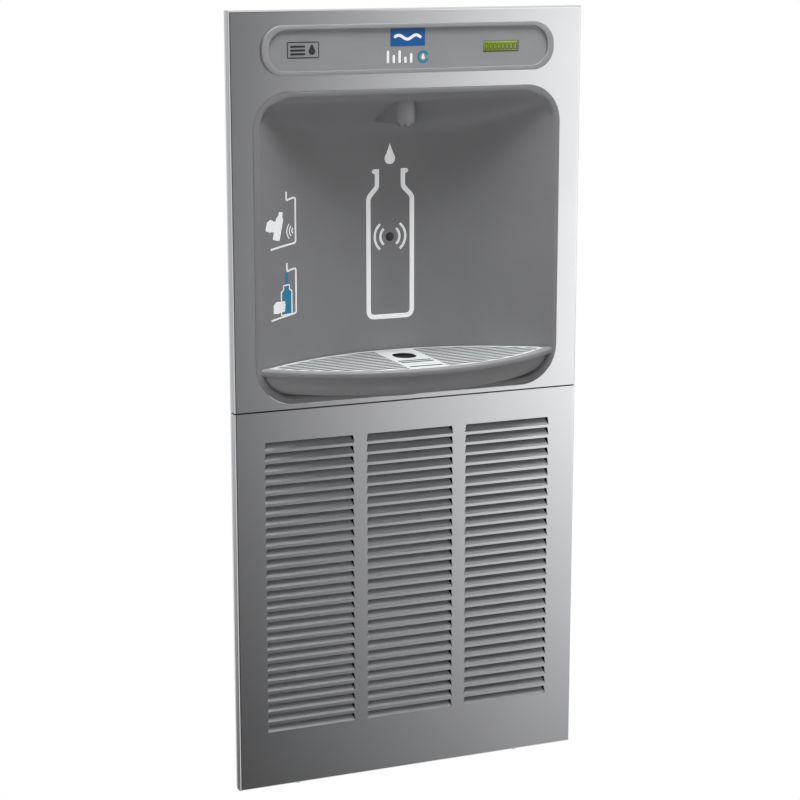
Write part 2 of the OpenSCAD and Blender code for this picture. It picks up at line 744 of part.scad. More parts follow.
// Places of the straps, as shares of the frame's height
strap_shares = [-0.41, -0.17, 0.12, 0.42];
module back_straps() {
    color([0.68, 0.7, 0.71]) for (share = strap_shares)
        block([-inner_x, inner_x], strap_y, [share * frame_h - strap_w / 2, share * frame_h + strap_w / 2]);
}
service_z = [196, 436];
module service_plate() {
    color([0.68, 0.7, 0.71]) block([-inner_x, inner_x], [service_y, service_y + frame_t], service_z);
}
tongue_x = [150, 176];
module seam_brackets() {
    y = frame_y[0] + frame_t;
    over_z = upper_z[0] + sheet_t + seat_gap;
    under_z = lower_z[1] - sheet_t - seat_gap;
    color([0.66, 0.68, 0.7]) for (s = [-1, 1]) {
        block(span(s * tongue_x[0], s * inner_x), [y, y + frame_t],
            [under_z - flange_w / 2, over_z + frame_t]);
        block(span(s * tongue_x[0], s * tongue_x[1]), [sheet_back + plastic_t + seat_gap, y],
            [over_z, over_z + frame_t]);
        block(span(s * tongue_x[0], s * tongue_x[1]), [sheet_back + plastic_t + seat_gap, y],
            [under_z - frame_t, under_z]);
    }
}
module hanger_hooks() {
    color([0.66, 0.68, 0.7]) for (s = [-1, 1]) {
        x = [s * hook_x - hook_half, s * hook_x + hook_half];
        tip_y = frame_y[0] + 2 * frame_t + 2 * seat_gap;
        block(x, [sheet_back, sheet_back + frame_t], [hook_z - hook_half / 2, hook_z + hook_half]);
        block(x, [sheet_back, tip_y + frame_t], [hook_z, hook_z + frame_t]);
        block(x, [tip_y, tip_y + frame_t], [hook_z - hook_half, hook_z + frame_t]);
    }
}
fork_half = 12;
fork_z = lower_z[0] + sheet_t + seat_gap;
module access_forks() {
    color([0.66, 0.68, 0.7]) for (s = [-1, 1]) difference() {
        x = [s * access_x - fork_half, s * access_x + fork_half];
        leg_y = [-frame_t - seat_gap, -seat_gap];
        union() {
            block(x, [sheet_back + 1, leg_y[1]], [fork_z, fork_z + frame_t]);
            block(x, leg_y, [fork_z, -frame_z + flange_w - frame_t]);
            block(x, [leg_y[0], frame_y[0] + frame_t],
                [-frame_z + flange_w - 2 * frame_t, -frame_z + flange_w - frame_t]);
            block(x, [frame_y[0], frame_y[0] + frame_t],
                [-frame_z + flange_w / 2, -frame_z + flange_w - frame_t]);
        }
        bar_z(s * access_x, access_y, [fork_z - cut, fork_z + frame_t + cut], access_screw_r + seat_gap);
        block([s * access_x - access_screw_r - seat_gap, s * access_x + access_screw_r + seat_gap],
            [face_y, access_y], [fork_z - cut, fork_z + frame_t + cut]);
    }
}
screw_head_r = 4.4;
screw_head_h = 2;
module access_screws() {
    nut_z = fork_z + frame_t + seat_gap;
    color([0.75, 0.76, 0.78]) for (s = [-1, 1]) {
        bar_z(s * access_x, access_y, [lower_z[0] - screw_head_h, lower_z[0]], screw_head_r);
        bar_z(s * access_x, access_y, [lower_z[0] - screw_head_h / 2, nut_z + 2 * screw_head_h],
            access_screw_r);
        bar_z(s * access_x, access_y, [nut_z, nut_z + 1.5 * screw_head_h], screw_head_r);
    }
}

// Compressor on its base
base_edge = 8;
base_side = 3;
base_z = -inner_z + frame_t;
module chiller_base() {
    y = [frame_y[0] + base_edge, frame_y[1] - base_edge];
    x = [-inner_x + base_side, inner_x - base_side];
    color([0.5, 0.52, 0.54]) difference() {
        union() {
            block(x, y, [-inner_z, base_z]);
            for (e = [y[0], y[1] - frame_t]) block(x, [e, e + frame_t], [-inner_z, base_z + base_edge]);
        }
        bar_z(inlet_x, inlet_y, [-frame_z, base_z + cut], bulkhead_r + bulkhead_nut + seat_gap);
    }
}
foot_half = 60;
foot_at = 50;
foot_t = 2.5;
mount_r = 9;
foot_z = base_z + mount_h;
comp_z = foot_z + foot_t;
comp_round = 26;
comp_flange = 3;
comp_wall = 3.5;
// Rounded can standing on its closed end
module can(r, h, round_r) {
    rotate_extrude() intersection() {
        union() {
            square([r - round_r, h]);
            translate([0, round_r]) square([r, h - round_r]);
            translate([r - round_r, round_r]) circle(round_r);
        }
        square([2 * r, h]);
    }
}
// Space inside one half of the compressor's shell, standing on its closed end
module comp_hollow() {
    translate([0, 0, comp_wall]) can(comp_r - comp_wall, comp_half_h, comp_round - comp_wall);
}
module compressor_lower_shell() {
    color([0.08, 0.08, 0.09]) difference() {
        union() {
            translate([comp_x, comp_y, comp_z - foot_t / 2])
                can(comp_r, comp_half_h + foot_t / 2, comp_round);
            comp_rim([comp_z + comp_half_h - comp_flange, comp_z + comp_half_h]);
            comp_foot();
        }
        translate([comp_x, comp_y, comp_z]) comp_hollow();
    }
}
module comp_rim(z) {
    bar_z(comp_x, comp_y, z, comp_r + comp_flange);
}
module comp_foot() {
    difference() {
        block([comp_x - foot_half, comp_x + foot_half], [comp_y - foot_half, comp_y + foot_half],
            [foot_z, comp_z]);
        for (sx = [-1, 1]) for (sy = [-1, 1])
            bar_z(comp_x + sx * foot_at, comp_y + sy * foot_at, [foot_z - cut, comp_z + cut],
                mount_r / 2 + seat_gap);
    }
}
comp_top = comp_z + 2 * comp_half_h;
module compressor_upper_shell() {
    color([0.08, 0.08, 0.09]) difference() {
        union() {
            translate([comp_x, comp_y, comp_top]) mirror([0, 0, 1]) can(comp_r, comp_half_h, comp_round);
            comp_rim([comp_top - comp_half_h, comp_top - comp_half_h + comp_flange]);
        }
        translate([comp_x, comp_y, comp_top]) mirror([0, 0, 1]) comp_hollow();
    }
}
// Motor with the pump on top of it, on three feet inside the shell
pump_r = 46;
pump_h = 104;
pump_up = 14;
module compressor_pump() {
    floor_z = comp_z + comp_wall + seat_gap;
    color([0.5, 0.51, 0.53]) union() {
        bar_z(comp_x, comp_y, [floor_z + pump_up, floor_z + pump_h], pump_r);
        bar_z(comp_x, comp_y, [floor_z + pump_h - cut, floor_z + pump_h + pump_up], pump_r / 2);
        for (a = [90, 210, 330]) bar_z(comp_x + 0.6 * pump_r * cos(a), comp_y + 0.6 * pump_r * sin(a),
            [floor_z, floor_z + pump_up + cut], pump_r / 8);
    }
}
module compressor_mounts() {
    color([0.1, 0.1, 0.1]) for (sx = [-1, 1]) for (sy = [-1, 1]) {
        bar_z(comp_x + sx * foot_at, comp_y + sy * foot_at, [base_z, foot_z], mount_r);
        bar_z(comp_x + sx * foot_at, comp_y + sy * foot_at, [foot_z - cut, comp_z + foot_t], mount_r / 2);
    }
}
cover_half_w = 17;
cover_d = 14;
cover_h = 38;
cover_z = [comp_z + comp_half_h - 2 * comp_flange - cover_h, comp_z + comp_half_h - 2 * comp_flange];
module terminal_cover() {
    color([0.12, 0.12, 0.13]) difference() {
        block([comp_x + comp_r / 2, comp_x + comp_r + cover_d],
            [comp_y - cover_half_w, comp_y + cover_half_w], cover_z);
        bar_z(comp_x, comp_y, [cover_z[0] - cut, cover_z[1] + cut], comp_r + seat_gap);
    }
}

// Condenser and fan
cond_up = 6;
cond_z = [base_z + cond_up, base_z + cond_up + cond_h];
cond_mid = (cond_z[0] + cond_z[1]) / 2;
cond_left = cond_x - cond_w / 2;
cond_right = cond_x + cond_w / 2;
tube_y = cond_set + fin_d / 2;
pass_pitch = cond_h / pass_n;
lead = 8;
bend_out = 2;
function pass_z(i) = cond_z[0] + (i + 0.5) * pass_pitch;
drier_r = 12;
drier_neck = 8;
drier_x = -5;
drier_y = strap_y[0] - drier_r - seat_gap;
drier_h = 80;
drier_z = -0.17 * frame_h - drier_h / 2;
module condenser_coil() {
    color([0.72, 0.45, 0.3]) {
        union() {
            for (i = [0 : pass_n - 1]) bar_x(tube_y, pass_z(i),
                [i == 0 || i == pass_n - 1 ? cond_left - lead : cond_left - bend_out, cond_right + bend_out],
                cond_tube_r);
            for (i = [0 : pass_n - 2]) {
                even = i % 2 == 0;
                x = even ? cond_right + bend_out : cond_left - bend_out;
                translate([x, tube_y, pass_z(i) + pass_pitch / 2])
                    rotate([90, 0, 0]) rotate([0, 0, even ? -90 : 90])
                    rotate_extrude(angle = 180) translate([pass_pitch / 2, 0]) circle(cond_tube_r);
            }
        }
        sweep(route([[cond_left - lead, tube_y, pass_z(0)], [cond_left - 2 * lead, tube_y, pass_z(0)],
            [-6, 70, -430], [-5, 140, -400], [-5, 184, -330],
            [drier_x, drier_y, drier_z - 2 * lead], [drier_x, drier_y, drier_z]], 4), coil_tube_r);
    }
}
module condenser_fins() {
    color([0.78, 0.79, 0.8]) for (i = [0 : fin_n - 1]) {
        x = mix(cond_left, cond_right - fin_t, i / (fin_n - 1));
        translate([x, 0, 0]) along_x([0, fin_t]) difference() {
            translate([cond_set, cond_z[0]]) square([fin_d, cond_h]);
            for (k = [0 : pass_n - 1]) translate([tube_y, pass_z(k)]) circle(cond_tube_r + shaft_gap);
        }
    }
}
shroud_y = [cond_set + fin_d + seat_gap, cond_set + fin_d + seat_gap + frame_t];
shroud_side = 4;
tip_gap = 4;
ring_r = fan_r + tip_gap;
ring_d = 14;
fan_set = 12;
fan_w = 18;
fan_y = [shroud_y[0] + fan_set, shroud_y[0] + fan_set + fan_w];
hub_r = 17;
hub_wall = 4;
hub_dish = 2;
shaft_r = 3;
module fan_shroud() {
    color([0.35, 0.36, 0.37]) difference() {
        union() {
            block([cond_left - shroud_side, cond_right + shroud_side], shroud_y, [base_z, cond_z[1]]);
            bar_y(cond_x, cond_mid, [shroud_y[0], shroud_y[0] + ring_d], ring_r + frame_t);
        }
        bar_y(cond_x, cond_mid, [shroud_y[0] - cut, shroud_y[0] + ring_d + cut], ring_r);
    }
}
motor_gap = 4;
motor_boss = 3;
motor_y = [fan_y[1] + motor_gap, fan_y[1] + motor_gap + motor_l];
shaft_in = 12;
module fan_motor() {
    color([0.3, 0.3, 0.32]) union() {
        bar_y(cond_x, cond_mid, motor_y, motor_r);
        bar_y(cond_x, cond_mid, [motor_y[0] - motor_boss, motor_y[0] + cut], motor_r / 2.5);
        bar_y(cond_x, cond_mid, [fan_y[1] - shaft_in, motor_y[0]], shaft_r);
    }
}
arm_w = 10;
arm_t = 3;
arm_end = ring_r + frame_t + 2 * arm_w;
module fan_bracket() {
    arm_y = motor_y[0] + arm_w;
    color([0.55, 0.56, 0.58]) difference() {
        union() {
            bar_y(cond_x, cond_mid, [arm_y, arm_y + arm_w], motor_r + seat_gap + arm_t);
            for (a = [45 : 90 : 315]) translate([cond_x, 0, cond_mid]) rotate([0, -a, 0]) {
                block([motor_r + arm_t / 2, arm_end], [arm_y, arm_y + arm_t], [-arm_w / 2, arm_w / 2]);
                block([arm_end - arm_t, arm_end], [shroud_y[1], arm_y + arm_t], [-arm_w / 2, arm_w / 2]);
            }
        }
        bar_y(cond_x, cond_mid, [arm_y - cut, arm_y + arm_w + cut], motor_r + seat_gap);
    }
}
blade_t = 2;
blade_pitch = 32;
module fan_blade() {
    mid = (fan_y[0] + fan_y[1]) / 2;
    blade_w = (fan_y[1] - fan_y[0]) / sin(blade_pitch) - 2 * blade_t;
    color([0.8, 0.81, 0.82]) difference() {
        union() {
            bar_y(cond_x, cond_mid, fan_y, hub_r);
            intersection() {
                bar_y(cond_x, cond_mid, fan_y, fan_r);
                for (i = [0 : fan_n - 1]) translate([cond_x, mid, cond_mid])
                    rotate([0, 360 * i / fan_n, 0]) rotate([blade_pitch, 0, 0])
                    block([hub_r / 2, 2 * fan_r], [-blade_t / 2, blade_t / 2], [-blade_w / 2, blade_w / 2]);
            }
        }
        bar_y(cond_x, cond_mid, [fan_y[1] - shaft_in - seat_gap, fan_y[1] + cut], shaft_r + shaft_gap);
        bar_y(cond_x, cond_mid, [fan_y[0] - cut, fan_y[0] + hub_dish], hub_r - hub_wall);
    }
}

// Chilled water tank
shelf_over = 12;
shelf_side = 8;
shelf_z = cond_z[1] + shelf_over;
shelf_left = cond_left - shelf_side;
module tank_shelf() {
    y = [frame_y[0] + flange_w, frame_y[1] - base_edge - 2 * frame_t];
    color([0.66, 0.68, 0.7]) union() {
        block([shelf_left, inner_x], y, [shelf_z, shelf_z + frame_t]);
        block([inner_x - frame_t, inner_x], y, [shelf_z, shelf_z + 2 * flange_w]);
        block([shelf_left, shelf_left + frame_t], [y[1] - 3 * flange_w, y[1]], [base_z, shelf_z + frame_t]);
    }
}
coil_r = tank_r + coil_tube_r + 3 * seat_gap;
jacket_in = coil_r + coil_tube_r + seat_gap;
jacket_out = jacket_in + jacket_t;
jacket_z = [shelf_z + frame_t + seat_gap, shelf_z + frame_t + seat_gap + tank_h + 2 * jacket_t];
tank_z = [jacket_z[0] + jacket_t + seat_gap, jacket_z[1] - jacket_t - seat_gap];
port_x = 20;
port_wall = 1;
port_up = 5;
tank_top = jacket_z[1] + port_up;
module evaporator_tank() {
    color([0.75, 0.76, 0.77]) difference() {
        union() {
            bar_z(tank_x, tank_y, tank_z, tank_r);
            for (s = [-1, 1])
                bar_z(tank_x + s * port_x, tank_y, [tank_z[1] - cut, tank_top], tube_r + port_wall);
        }
        bar_z(tank_x, tank_y, [tank_z[0] + frame_t, tank_z[1] - frame_t], tank_r - frame_t);
        for (s = [-1, 1]) bar_z(tank_x + s * port_x, tank_y, [tank_z[1] - 2 * frame_t, tank_top + cut],
            tube_r - port_wall);
    }
}
coil_rise = (tank_z[1] - tank_z[0] - 6 * coil_tube_r) / (coil_n + 0.5);
coil_z0 = tank_z[0] + 3 * coil_tube_r;
coil_end_x = tank_x - jacket_out - lead;
coil_steps = 24;
// Evaporator's tube: a lead, the turns round the tank and the second lead
coil_path = concat(
    [[coil_end_x, tank_y - coil_r, coil_z0], [tank_x - coil_tube_r, tank_y - coil_r, coil_z0]],
    [for (i = [1 : (coil_n + 0.5) * coil_steps - 1]) let (a = -90 + 360 * i / coil_steps)
        [tank_x + coil_r * cos(a), tank_y + coil_r * sin(a), coil_z0 + coil_rise * i / coil_steps]],
    [[tank_x - coil_tube_r, tank_y + coil_r, coil_z0 + coil_rise * (coil_n + 0.5)],
        [coil_end_x, tank_y + coil_r, coil_z0 + coil_rise * (coil_n + 0.5)]]);
echo("gap between the evaporator's turns", coil_rise - 2 * coil_tube_r);
coil_z1 = coil_z0 + coil_rise * (coil_n + 0.5);
module evaporator_coil() {
    color([0.72, 0.45, 0.3]) sweep(coil_path, coil_tube_r, 6);
}
// Half of the foam jacket: s is -1 for the front half and 1 for the rear half
module jacket_half(s) {
    difference() {
        bar_z(tank_x, tank_y, jacket_z, jacket_out);
        bar_z(tank_x, tank_y, [jacket_z[0] + jacket_t, jacket_z[1] - jacket_t], jacket_in);
        for (t = [-1, 1]) bar_z(tank_x + t * port_x, tank_y, [tank_z[1], jacket_z[1] + cut],
            tube_r + port_wall + seat_gap);
        bar_x(tank_y - coil_r, coil_z0, [coil_end_x, tank_x], coil_tube_r + seat_gap);
        bar_x(tank_y + coil_r, coil_z1, [coil_end_x, tank_x], coil_tube_r + seat_gap);
        block([tank_x - 2 * jacket_out, tank_x + 2 * jacket_out],
            s > 0 ? [tank_y - 2 * jacket_out, tank_y] : [tank_y, tank_y + 2 * jacket_out],
            [jacket_z[0] - cut, jacket_z[1] + cut]);
    }
}
module foam_jacket() {
    color([0.13, 0.13, 0.14]) for (s = [-1, 1]) jacket_half(s);
}

// Refrigerant lines
module filter_drier() {
    color([0.72, 0.45, 0.3]) union() {
        bar_z(drier_x, drier_y, [drier_z + drier_neck, drier_z + drier_h - drier_neck], drier_r);
        bar_z(drier_x, drier_y, [drier_z, drier_z + drier_h], drier_r / 2.5);
    }
}
comp_port = 25;
module discharge_line() {
    x = comp_x + comp_port;
    y = comp_y - comp_port;
    color([0.72, 0.45, 0.3]) sweep(route([[x, y, comp_top], [x, y, comp_top + 2 * lead], [-60, 74, -252],
        [-28, 46, -268], [cond_left - 2 * lead, tube_y, pass_z(pass_n - 1)],
        [cond_left - lead, tube_y, pass_z(pass_n - 1)]], 5), coil_tube_r);
}
module suction_line() {
    x = comp_x + comp_port;
    y = comp_y + comp_port;
    color([0.72, 0.45, 0.3]) sweep(route([[coil_end_x, tank_y + coil_r, coil_z1],
        [coil_end_x - 2 * lead, tank_y + coil_r, coil_z1], [-44, 158, -180], [-72, 146, -235],
        [x, y, comp_top + 2 * lead], [x, y, comp_top]], 5), coil_tube_r);
}
capillary_r = 1.4;
module capillary_tube() {
    color([0.72, 0.45, 0.3]) sweep(route([[drier_x, drier_y, drier_z + drier_h],
        [drier_x, drier_y, drier_z + drier_h + lead], [2, 150, -98], [6, 90, -130],
        [4, 66, -200], [coil_end_x - 2 * lead, tank_y - coil_r, coil_z0],
        [coil_end_x, tank_y - coil_r, coil_z0]], 5), capillary_r, 6);
}
thermo_half = 24;
thermo_h = 34;
thermo_d = 17;
thermo_z = (jacket_z[0] + jacket_z[1]) / 2;
thermo_y = [tank_y - jacket_out - seat_gap - thermo_d, tank_y - jacket_out - seat_gap];
knob_d = 11;
knob_r = 14;
knob_web = 3;
pointer_half = 2;
module thermostat_body() {
    color([0.85, 0.86, 0.86]) union() {
        block([tank_x - thermo_half, tank_x + thermo_half], thermo_y,
            [thermo_z - thermo_h / 2, thermo_z + thermo_h / 2]);
        bar_y(tank_x, thermo_z, [thermo_y[0] - knob_d + knob_web, thermo_y[0] + cut], shaft_r);
    }
}
module thermostat_knob() {
    y = [thermo_y[0] - knob_d, thermo_y[0] - seat_gap];
    color([0.1, 0.1, 0.11]) difference() {
        union() {
            bar_y(tank_x, thermo_z, y, knob_r);
            block([tank_x - pointer_half, tank_x + pointer_half], [y[0] - pointer_half, y[0] + cut],
                [thermo_z - 0.85 * knob_r, thermo_z + 0.85 * knob_r]);
        }
        bar_y(tank_x, thermo_z, [y[0] + knob_web - seat_gap, y[1] + cut], shaft_r + shaft_gap);
    }
}

// Supply, filter and valve
inlet_down = 16;
inlet_up = 22;
inlet_z = [-frame_z - inlet_down, -frame_z + inlet_up];
inlet_nut_h = 6;
module inlet_fitting() {
    color([0.8, 0.7, 0.42]) difference() {
        union() {
            bar_z(inlet_x, inlet_y, inlet_z, bulkhead_r);
            for (z = [-frame_z - inlet_nut_h, -inner_z])
                translate([inlet_x, inlet_y, z])
                    cylinder(h = inlet_nut_h, r = bulkhead_r + bulkhead_nut, $fn = 6);
        }
        bar_z(inlet_x, inlet_y, [inlet_z[0] - cut, inlet_z[0] + inlet_l], inlet_r);
        bar_z(inlet_x, inlet_y, [inlet_z[0], inlet_z[1] + cut], tube_r - port_wall);
    }
}
head_half = 22;
head_top = -20;
head_h = 38;
head_z = [head_top - head_h, head_top];
port_r = 7.5;
port_l = 8;
neck_r = 16;
neck_h = 14;
module filter_bracket() {
    z = head_z[1] + seat_gap;
    color([0.66, 0.68, 0.7]) union() {
        block([-inner_x, filter_x + head_half], [filter_y - head_half, filter_y + head_half],
            [z, z + frame_t]);
        block([-inner_x, -inner_x + frame_t], [filter_y - head_half, filter_y + head_half],
            [z - 2 * flange_w, z + frame_t]);
    }
}
module filter_head() {
    color([0.9, 0.9, 0.91]) difference() {
        union() {
            block([filter_x - head_half, filter_x + head_half],
                [filter_y - head_half, filter_y + head_half], head_z);
            bar_x(filter_y, (head_z[0] + head_z[1]) / 2 + port_l / 2,
                [filter_x - head_half - port_l, filter_x + head_half + port_l], port_r);
        }
        bar_z(filter_x, filter_y, [head_z[0] - cut, head_z[0] + neck_h + seat_gap], neck_r + seat_gap);
    }
}
dome_r = 14;
collar_h = 4;
module filter_cartridge() {
    top = head_z[0] - seat_gap;
    color([0.15, 0.35, 0.62]) union() {
        translate([filter_x, filter_y, top - filter_h]) can(filter_r, filter_h - collar_h, dome_r);
        bar_z(filter_x, filter_y, [top - 2 * collar_h, top], filter_r - collar_h);
        bar_z(filter_x, filter_y, [top - cut, top + neck_h], neck_r);
    }
}
valve_y = 120;
valve_half = 18;
valve_h = 22;
guide_r = 7;
guide_wall = 1.4;
guide_h = 42;
seat_d = 6;
valve_top = valve_z + valve_h / 2;
module valve_body() {
    color([0.92, 0.92, 0.9]) difference() {
        union() {
            block([valve_x - valve_half, valve_x + valve_half], [valve_y - valve_half, valve_y + valve_half],
                [valve_z - valve_h / 2, valve_top]);
            block([valve_x - valve_half / 2, valve_x + valve_half / 2], [valve_y, service_y],
                [valve_z - valve_h / 2, valve_top]);
            bar_x(valve_y, valve_z, [valve_x - valve_half - port_l, valve_x + valve_half + port_l], port_r);
            bar_z(valve_x, valve_y, [valve_top - cut, valve_top + guide_h], guide_r);
        }
        bar_z(valve_x, valve_y, [valve_top - seat_d, valve_top + guide_h - guide_wall], guide_r - guide_wall);
    }
}
coil_half = 17;
coil_h = 28;
module valve_coil() {
    color([0.1, 0.1, 0.11]) difference() {
        block([valve_x - coil_half, valve_x + coil_half], [valve_y - coil_half, valve_y + coil_half],
            [valve_top + seat_gap, valve_top + seat_gap + coil_h]);
        bar_z(valve_x, valve_y, [valve_top - cut, valve_top + coil_h + 2 * cut], guide_r + seat_gap);
    }
}
plunger_r = guide_r - guide_wall - seat_gap;
plunger_h = 26;
plunger_z = [valve_top - seat_d + seat_gap, valve_top - seat_d + seat_gap + plunger_h];
module valve_plunger() {
    color([0.75, 0.76, 0.78]) bar_z(valve_x, valve_y, plunger_z, plunger_r);
}
spring_n = 5;
wire_r = 0.6;
spring_z = [plunger_z[1] + wire_r, valve_top + guide_h - guide_wall - wire_r];
module plunger_spring() {
    spring_r = plunger_r - wire_r;
    steps = 12;
    color([0.6, 0.6, 0.62]) sweep([for (i = [0 : spring_n * steps]) let (a = 360 * i / steps)
        [valve_x + spring_r * cos(a), valve_y + spring_r * sin(a),
            mix(spring_z[0], spring_z[1], i / (spring_n * steps))]], wire_r, 6);
}
// Water tubes, whole from end to end: supply, filtered, chilled and spout
module water_tubes() {
    head_port_z = (head_z[0] + head_z[1]) / 2 + port_l / 2;
    head_left = filter_x - head_half - port_l;
    head_right = filter_x + head_half + port_l;
    valve_left = valve_x - valve_half - port_l;
    valve_right = valve_x + valve_half + port_l;
    color([0.2, 0.42, 0.75]) {
        sweep(route([[inlet_x, inlet_y, inlet_z[1]], [inlet_x, inlet_y, inlet_z[1] + 2 * lead],
            [-181, 32, -250], [-183, 50, -110], [-184, 66, -60], [head_left - lead, filter_y, head_port_z],
            [head_left, filter_y, head_port_z]], 5), tube_r);
        sweep(route([[head_right, filter_y, head_port_z], [head_right + 2 * lead, filter_y, head_port_z],
            [-44, 78, -36], [0, 84, -34], [44, 94, -38], [74, 108, -48],
            [tank_x - port_x, tank_y, tank_top + 2 * lead], [tank_x - port_x, tank_y, tank_top]], 5), tube_r);
        sweep(route([[tank_x + port_x, tank_y, tank_top], [tank_x + port_x, tank_y, tank_top + 2 * lead],
            [140, 110, 0], [150, 110, 120], [138, 116, 225], [valve_right + 2 * lead, valve_y, valve_z],
            [valve_right, valve_y, valve_z]], 5), tube_r);
        sweep(route([[valve_left, valve_y, valve_z],
            [valve_left - 2 * lead, valve_y, valve_z], [-6, 108, 286],
            [-5, 88, 330], [0, back_y + 3 * lead, spout_bore_z - tube_r / 2],
            [0, back_y + plastic_t, spout_bore_z],
            [0, nozzle_y + nozzle_r + seat_gap, spout_bore_z]], 5), tube_r);
    }
}

// Controls
box_x = [-176, -76];
box_y = [112, service_y];
box_z = [215, 345];
box_t = 1.6;
module control_box() {
    color([0.6, 0.62, 0.64]) difference() {
        block(box_x, box_y, box_z);
        block([box_x[0] + box_t, box_x[1] - box_t], [box_y[0] + box_t, box_y[1] - box_t],
            [box_z[0] + box_t, box_z[1] - box_t]);
    }
}
// Margin of the board in its box, its pillars and its transformer and relay
board_m = 8;
pillar_h = 6;
pillar_r = 2;
transformer_h = 16;
relay_h = 10;
module control_board() {
    y = box_y[1] - box_t - pillar_h;
    color([0.1, 0.4, 0.2]) union() {
        block([box_x[0] + board_m, box_x[1] - board_m], [y - board_t, y],
            [box_z[0] + board_m, box_z[1] - board_m]);
        for (x = [box_x[0] + 2 * board_m, box_x[1] - 2 * board_m])
            for (z = [box_z[0] + 2 * board_m, box_z[1] - 2 * board_m])
                bar_y(x, z, [y - board_t, box_y[1] - box_t], pillar_r);
        block([box_x[0] + 3 * board_m, box_x[0] + 6 * board_m], [y - transformer_h, y],
            [box_z[0] + 3 * board_m, box_z[0] + 6 * board_m]);
        block([box_x[1] - 5 * board_m, box_x[1] - 3 * board_m], [y - relay_h, y],
            [box_z[1] - 7 * board_m, box_z[1] - 3 * board_m]);
    }
}
harness_r = 2.2;
module wire_harness() {
    mid_x = (box_x[0] + box_x[1]) / 2;
    mid_y = (box_y[0] + box_y[1]) / 2;
    lcd_back = face_y + lcd_depth + board_t;
    sensor_back = back_y + 2 * plastic_t + sensor_d;
    coil_mid = valve_top + coil_h / 2;
    cover_x = comp_x + comp_r + cover_d / 2;
    color([0.12, 0.12, 0.12]) {
        sweep(route([[lcd_x - lcd_w / 2, lcd_back, lcd_z], [lcd_x - lcd_w / 2, lcd_back + lead, lcd_z],
            [60, 40, 412], [-40, 90, 400], [-112, 126, 372], [mid_x, mid_y, box_z[1] + lead],
            [mid_x, mid_y, box_z[1]]], 5), harness_r);
        sweep(route([[0, sensor_back, sensor_z], [0, sensor_back + lead, sensor_z], [-30, 112, 214],
            [box_x[1] + lead, mid_y, sensor_z + 4 * lead], [box_x[1], mid_y, sensor_z + 4 * lead]],
            5), harness_r);
        sweep(route([[valve_x - coil_half, valve_y, coil_mid],
            [valve_x - coil_half - lead, valve_y, coil_mid],
            [20, 126, 296], [-40, 130, 300], [box_x[1] + lead, mid_y, coil_mid], [box_x[1], mid_y, coil_mid]],
            5), harness_r);
        sweep(route([[mid_x, mid_y, box_z[0]], [mid_x, mid_y, box_z[0] - lead],
            [-90, 170, 60], [-60, 188, -60],
            [-50, 188, -200], [-36, 150, -290], [cover_x, comp_y, cover_z[1] + lead],
            [cover_x, comp_y, cover_z[1]]], 5), harness_r);
    }
}

upper_panel();
lower_panel();
header_bezel();
header_label();
lcd_window();
lcd_module();
alcove_shell();
spout_housing();
spout_nozzle();
sensor_lens();
sensor_module();
drip_grate();
basin_bowl();
drain_strainer();
drain_nut();
waste_pipe();
frame_left();
frame_right();
frame_top();
frame_bottom();
back_straps();
service_plate();
seam_brackets();
hanger_hooks();
access_forks();
access_screws();
chiller_base();
compressor_lower_shell();
compressor_upper_shell();
compressor_pump();
compressor_mounts();
terminal_cover();
condenser_coil();
condenser_fins();
fan_shroud();
fan_motor();
fan_bracket();
fan_blade();
tank_shelf();
evaporator_tank();
evaporator_coil();
foam_jacket();
filter_drier();
discharge_line();
suction_line();
capillary_tube();
thermostat_body();
thermostat_knob();
inlet_fitting();
filter_bracket();
filter_head();
filter_cartridge();
valve_body();
valve_coil();
valve_plunger();
plunger_spring();
water_tubes();
control_box();
control_board();
wire_harness();
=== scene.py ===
# %% [markdown]
# # A bottle filling station, dressed for its picture
# The machine parts come from the imported CAD model and stay where they are. Around them this
# notebook models what the eye meets first: two folded steel panels, a moulded alcove with its
# basin, spout and printed signs, the header, and the louvres. We load the frame first. The
# looks must not make the object any bigger.

# %% Load the frame
import json
import math

import bmesh
import bpy
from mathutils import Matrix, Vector


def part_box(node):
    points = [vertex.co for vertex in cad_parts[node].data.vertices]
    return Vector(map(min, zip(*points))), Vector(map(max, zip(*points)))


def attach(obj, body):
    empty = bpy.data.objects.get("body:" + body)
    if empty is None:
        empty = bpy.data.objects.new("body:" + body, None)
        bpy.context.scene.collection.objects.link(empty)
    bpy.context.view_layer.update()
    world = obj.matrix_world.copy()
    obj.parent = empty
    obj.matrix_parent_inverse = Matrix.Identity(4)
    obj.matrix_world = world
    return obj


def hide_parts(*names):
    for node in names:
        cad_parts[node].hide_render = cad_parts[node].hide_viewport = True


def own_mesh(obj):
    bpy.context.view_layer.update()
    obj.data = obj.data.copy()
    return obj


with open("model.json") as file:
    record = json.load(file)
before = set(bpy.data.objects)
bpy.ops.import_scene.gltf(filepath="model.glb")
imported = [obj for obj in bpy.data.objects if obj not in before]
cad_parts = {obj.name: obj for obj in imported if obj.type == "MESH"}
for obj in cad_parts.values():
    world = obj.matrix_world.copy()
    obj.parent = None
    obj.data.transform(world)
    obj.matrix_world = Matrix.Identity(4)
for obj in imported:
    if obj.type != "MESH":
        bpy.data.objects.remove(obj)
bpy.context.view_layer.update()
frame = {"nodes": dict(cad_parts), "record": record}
nodes = frame["nodes"]
MM = 0.001

# %% [markdown]
# ## The camera
# The photograph was taken from above on the left with a long lens, so lines that run into the
# wall converge only a little. Its place and turn were found by fitting the corners of the face.

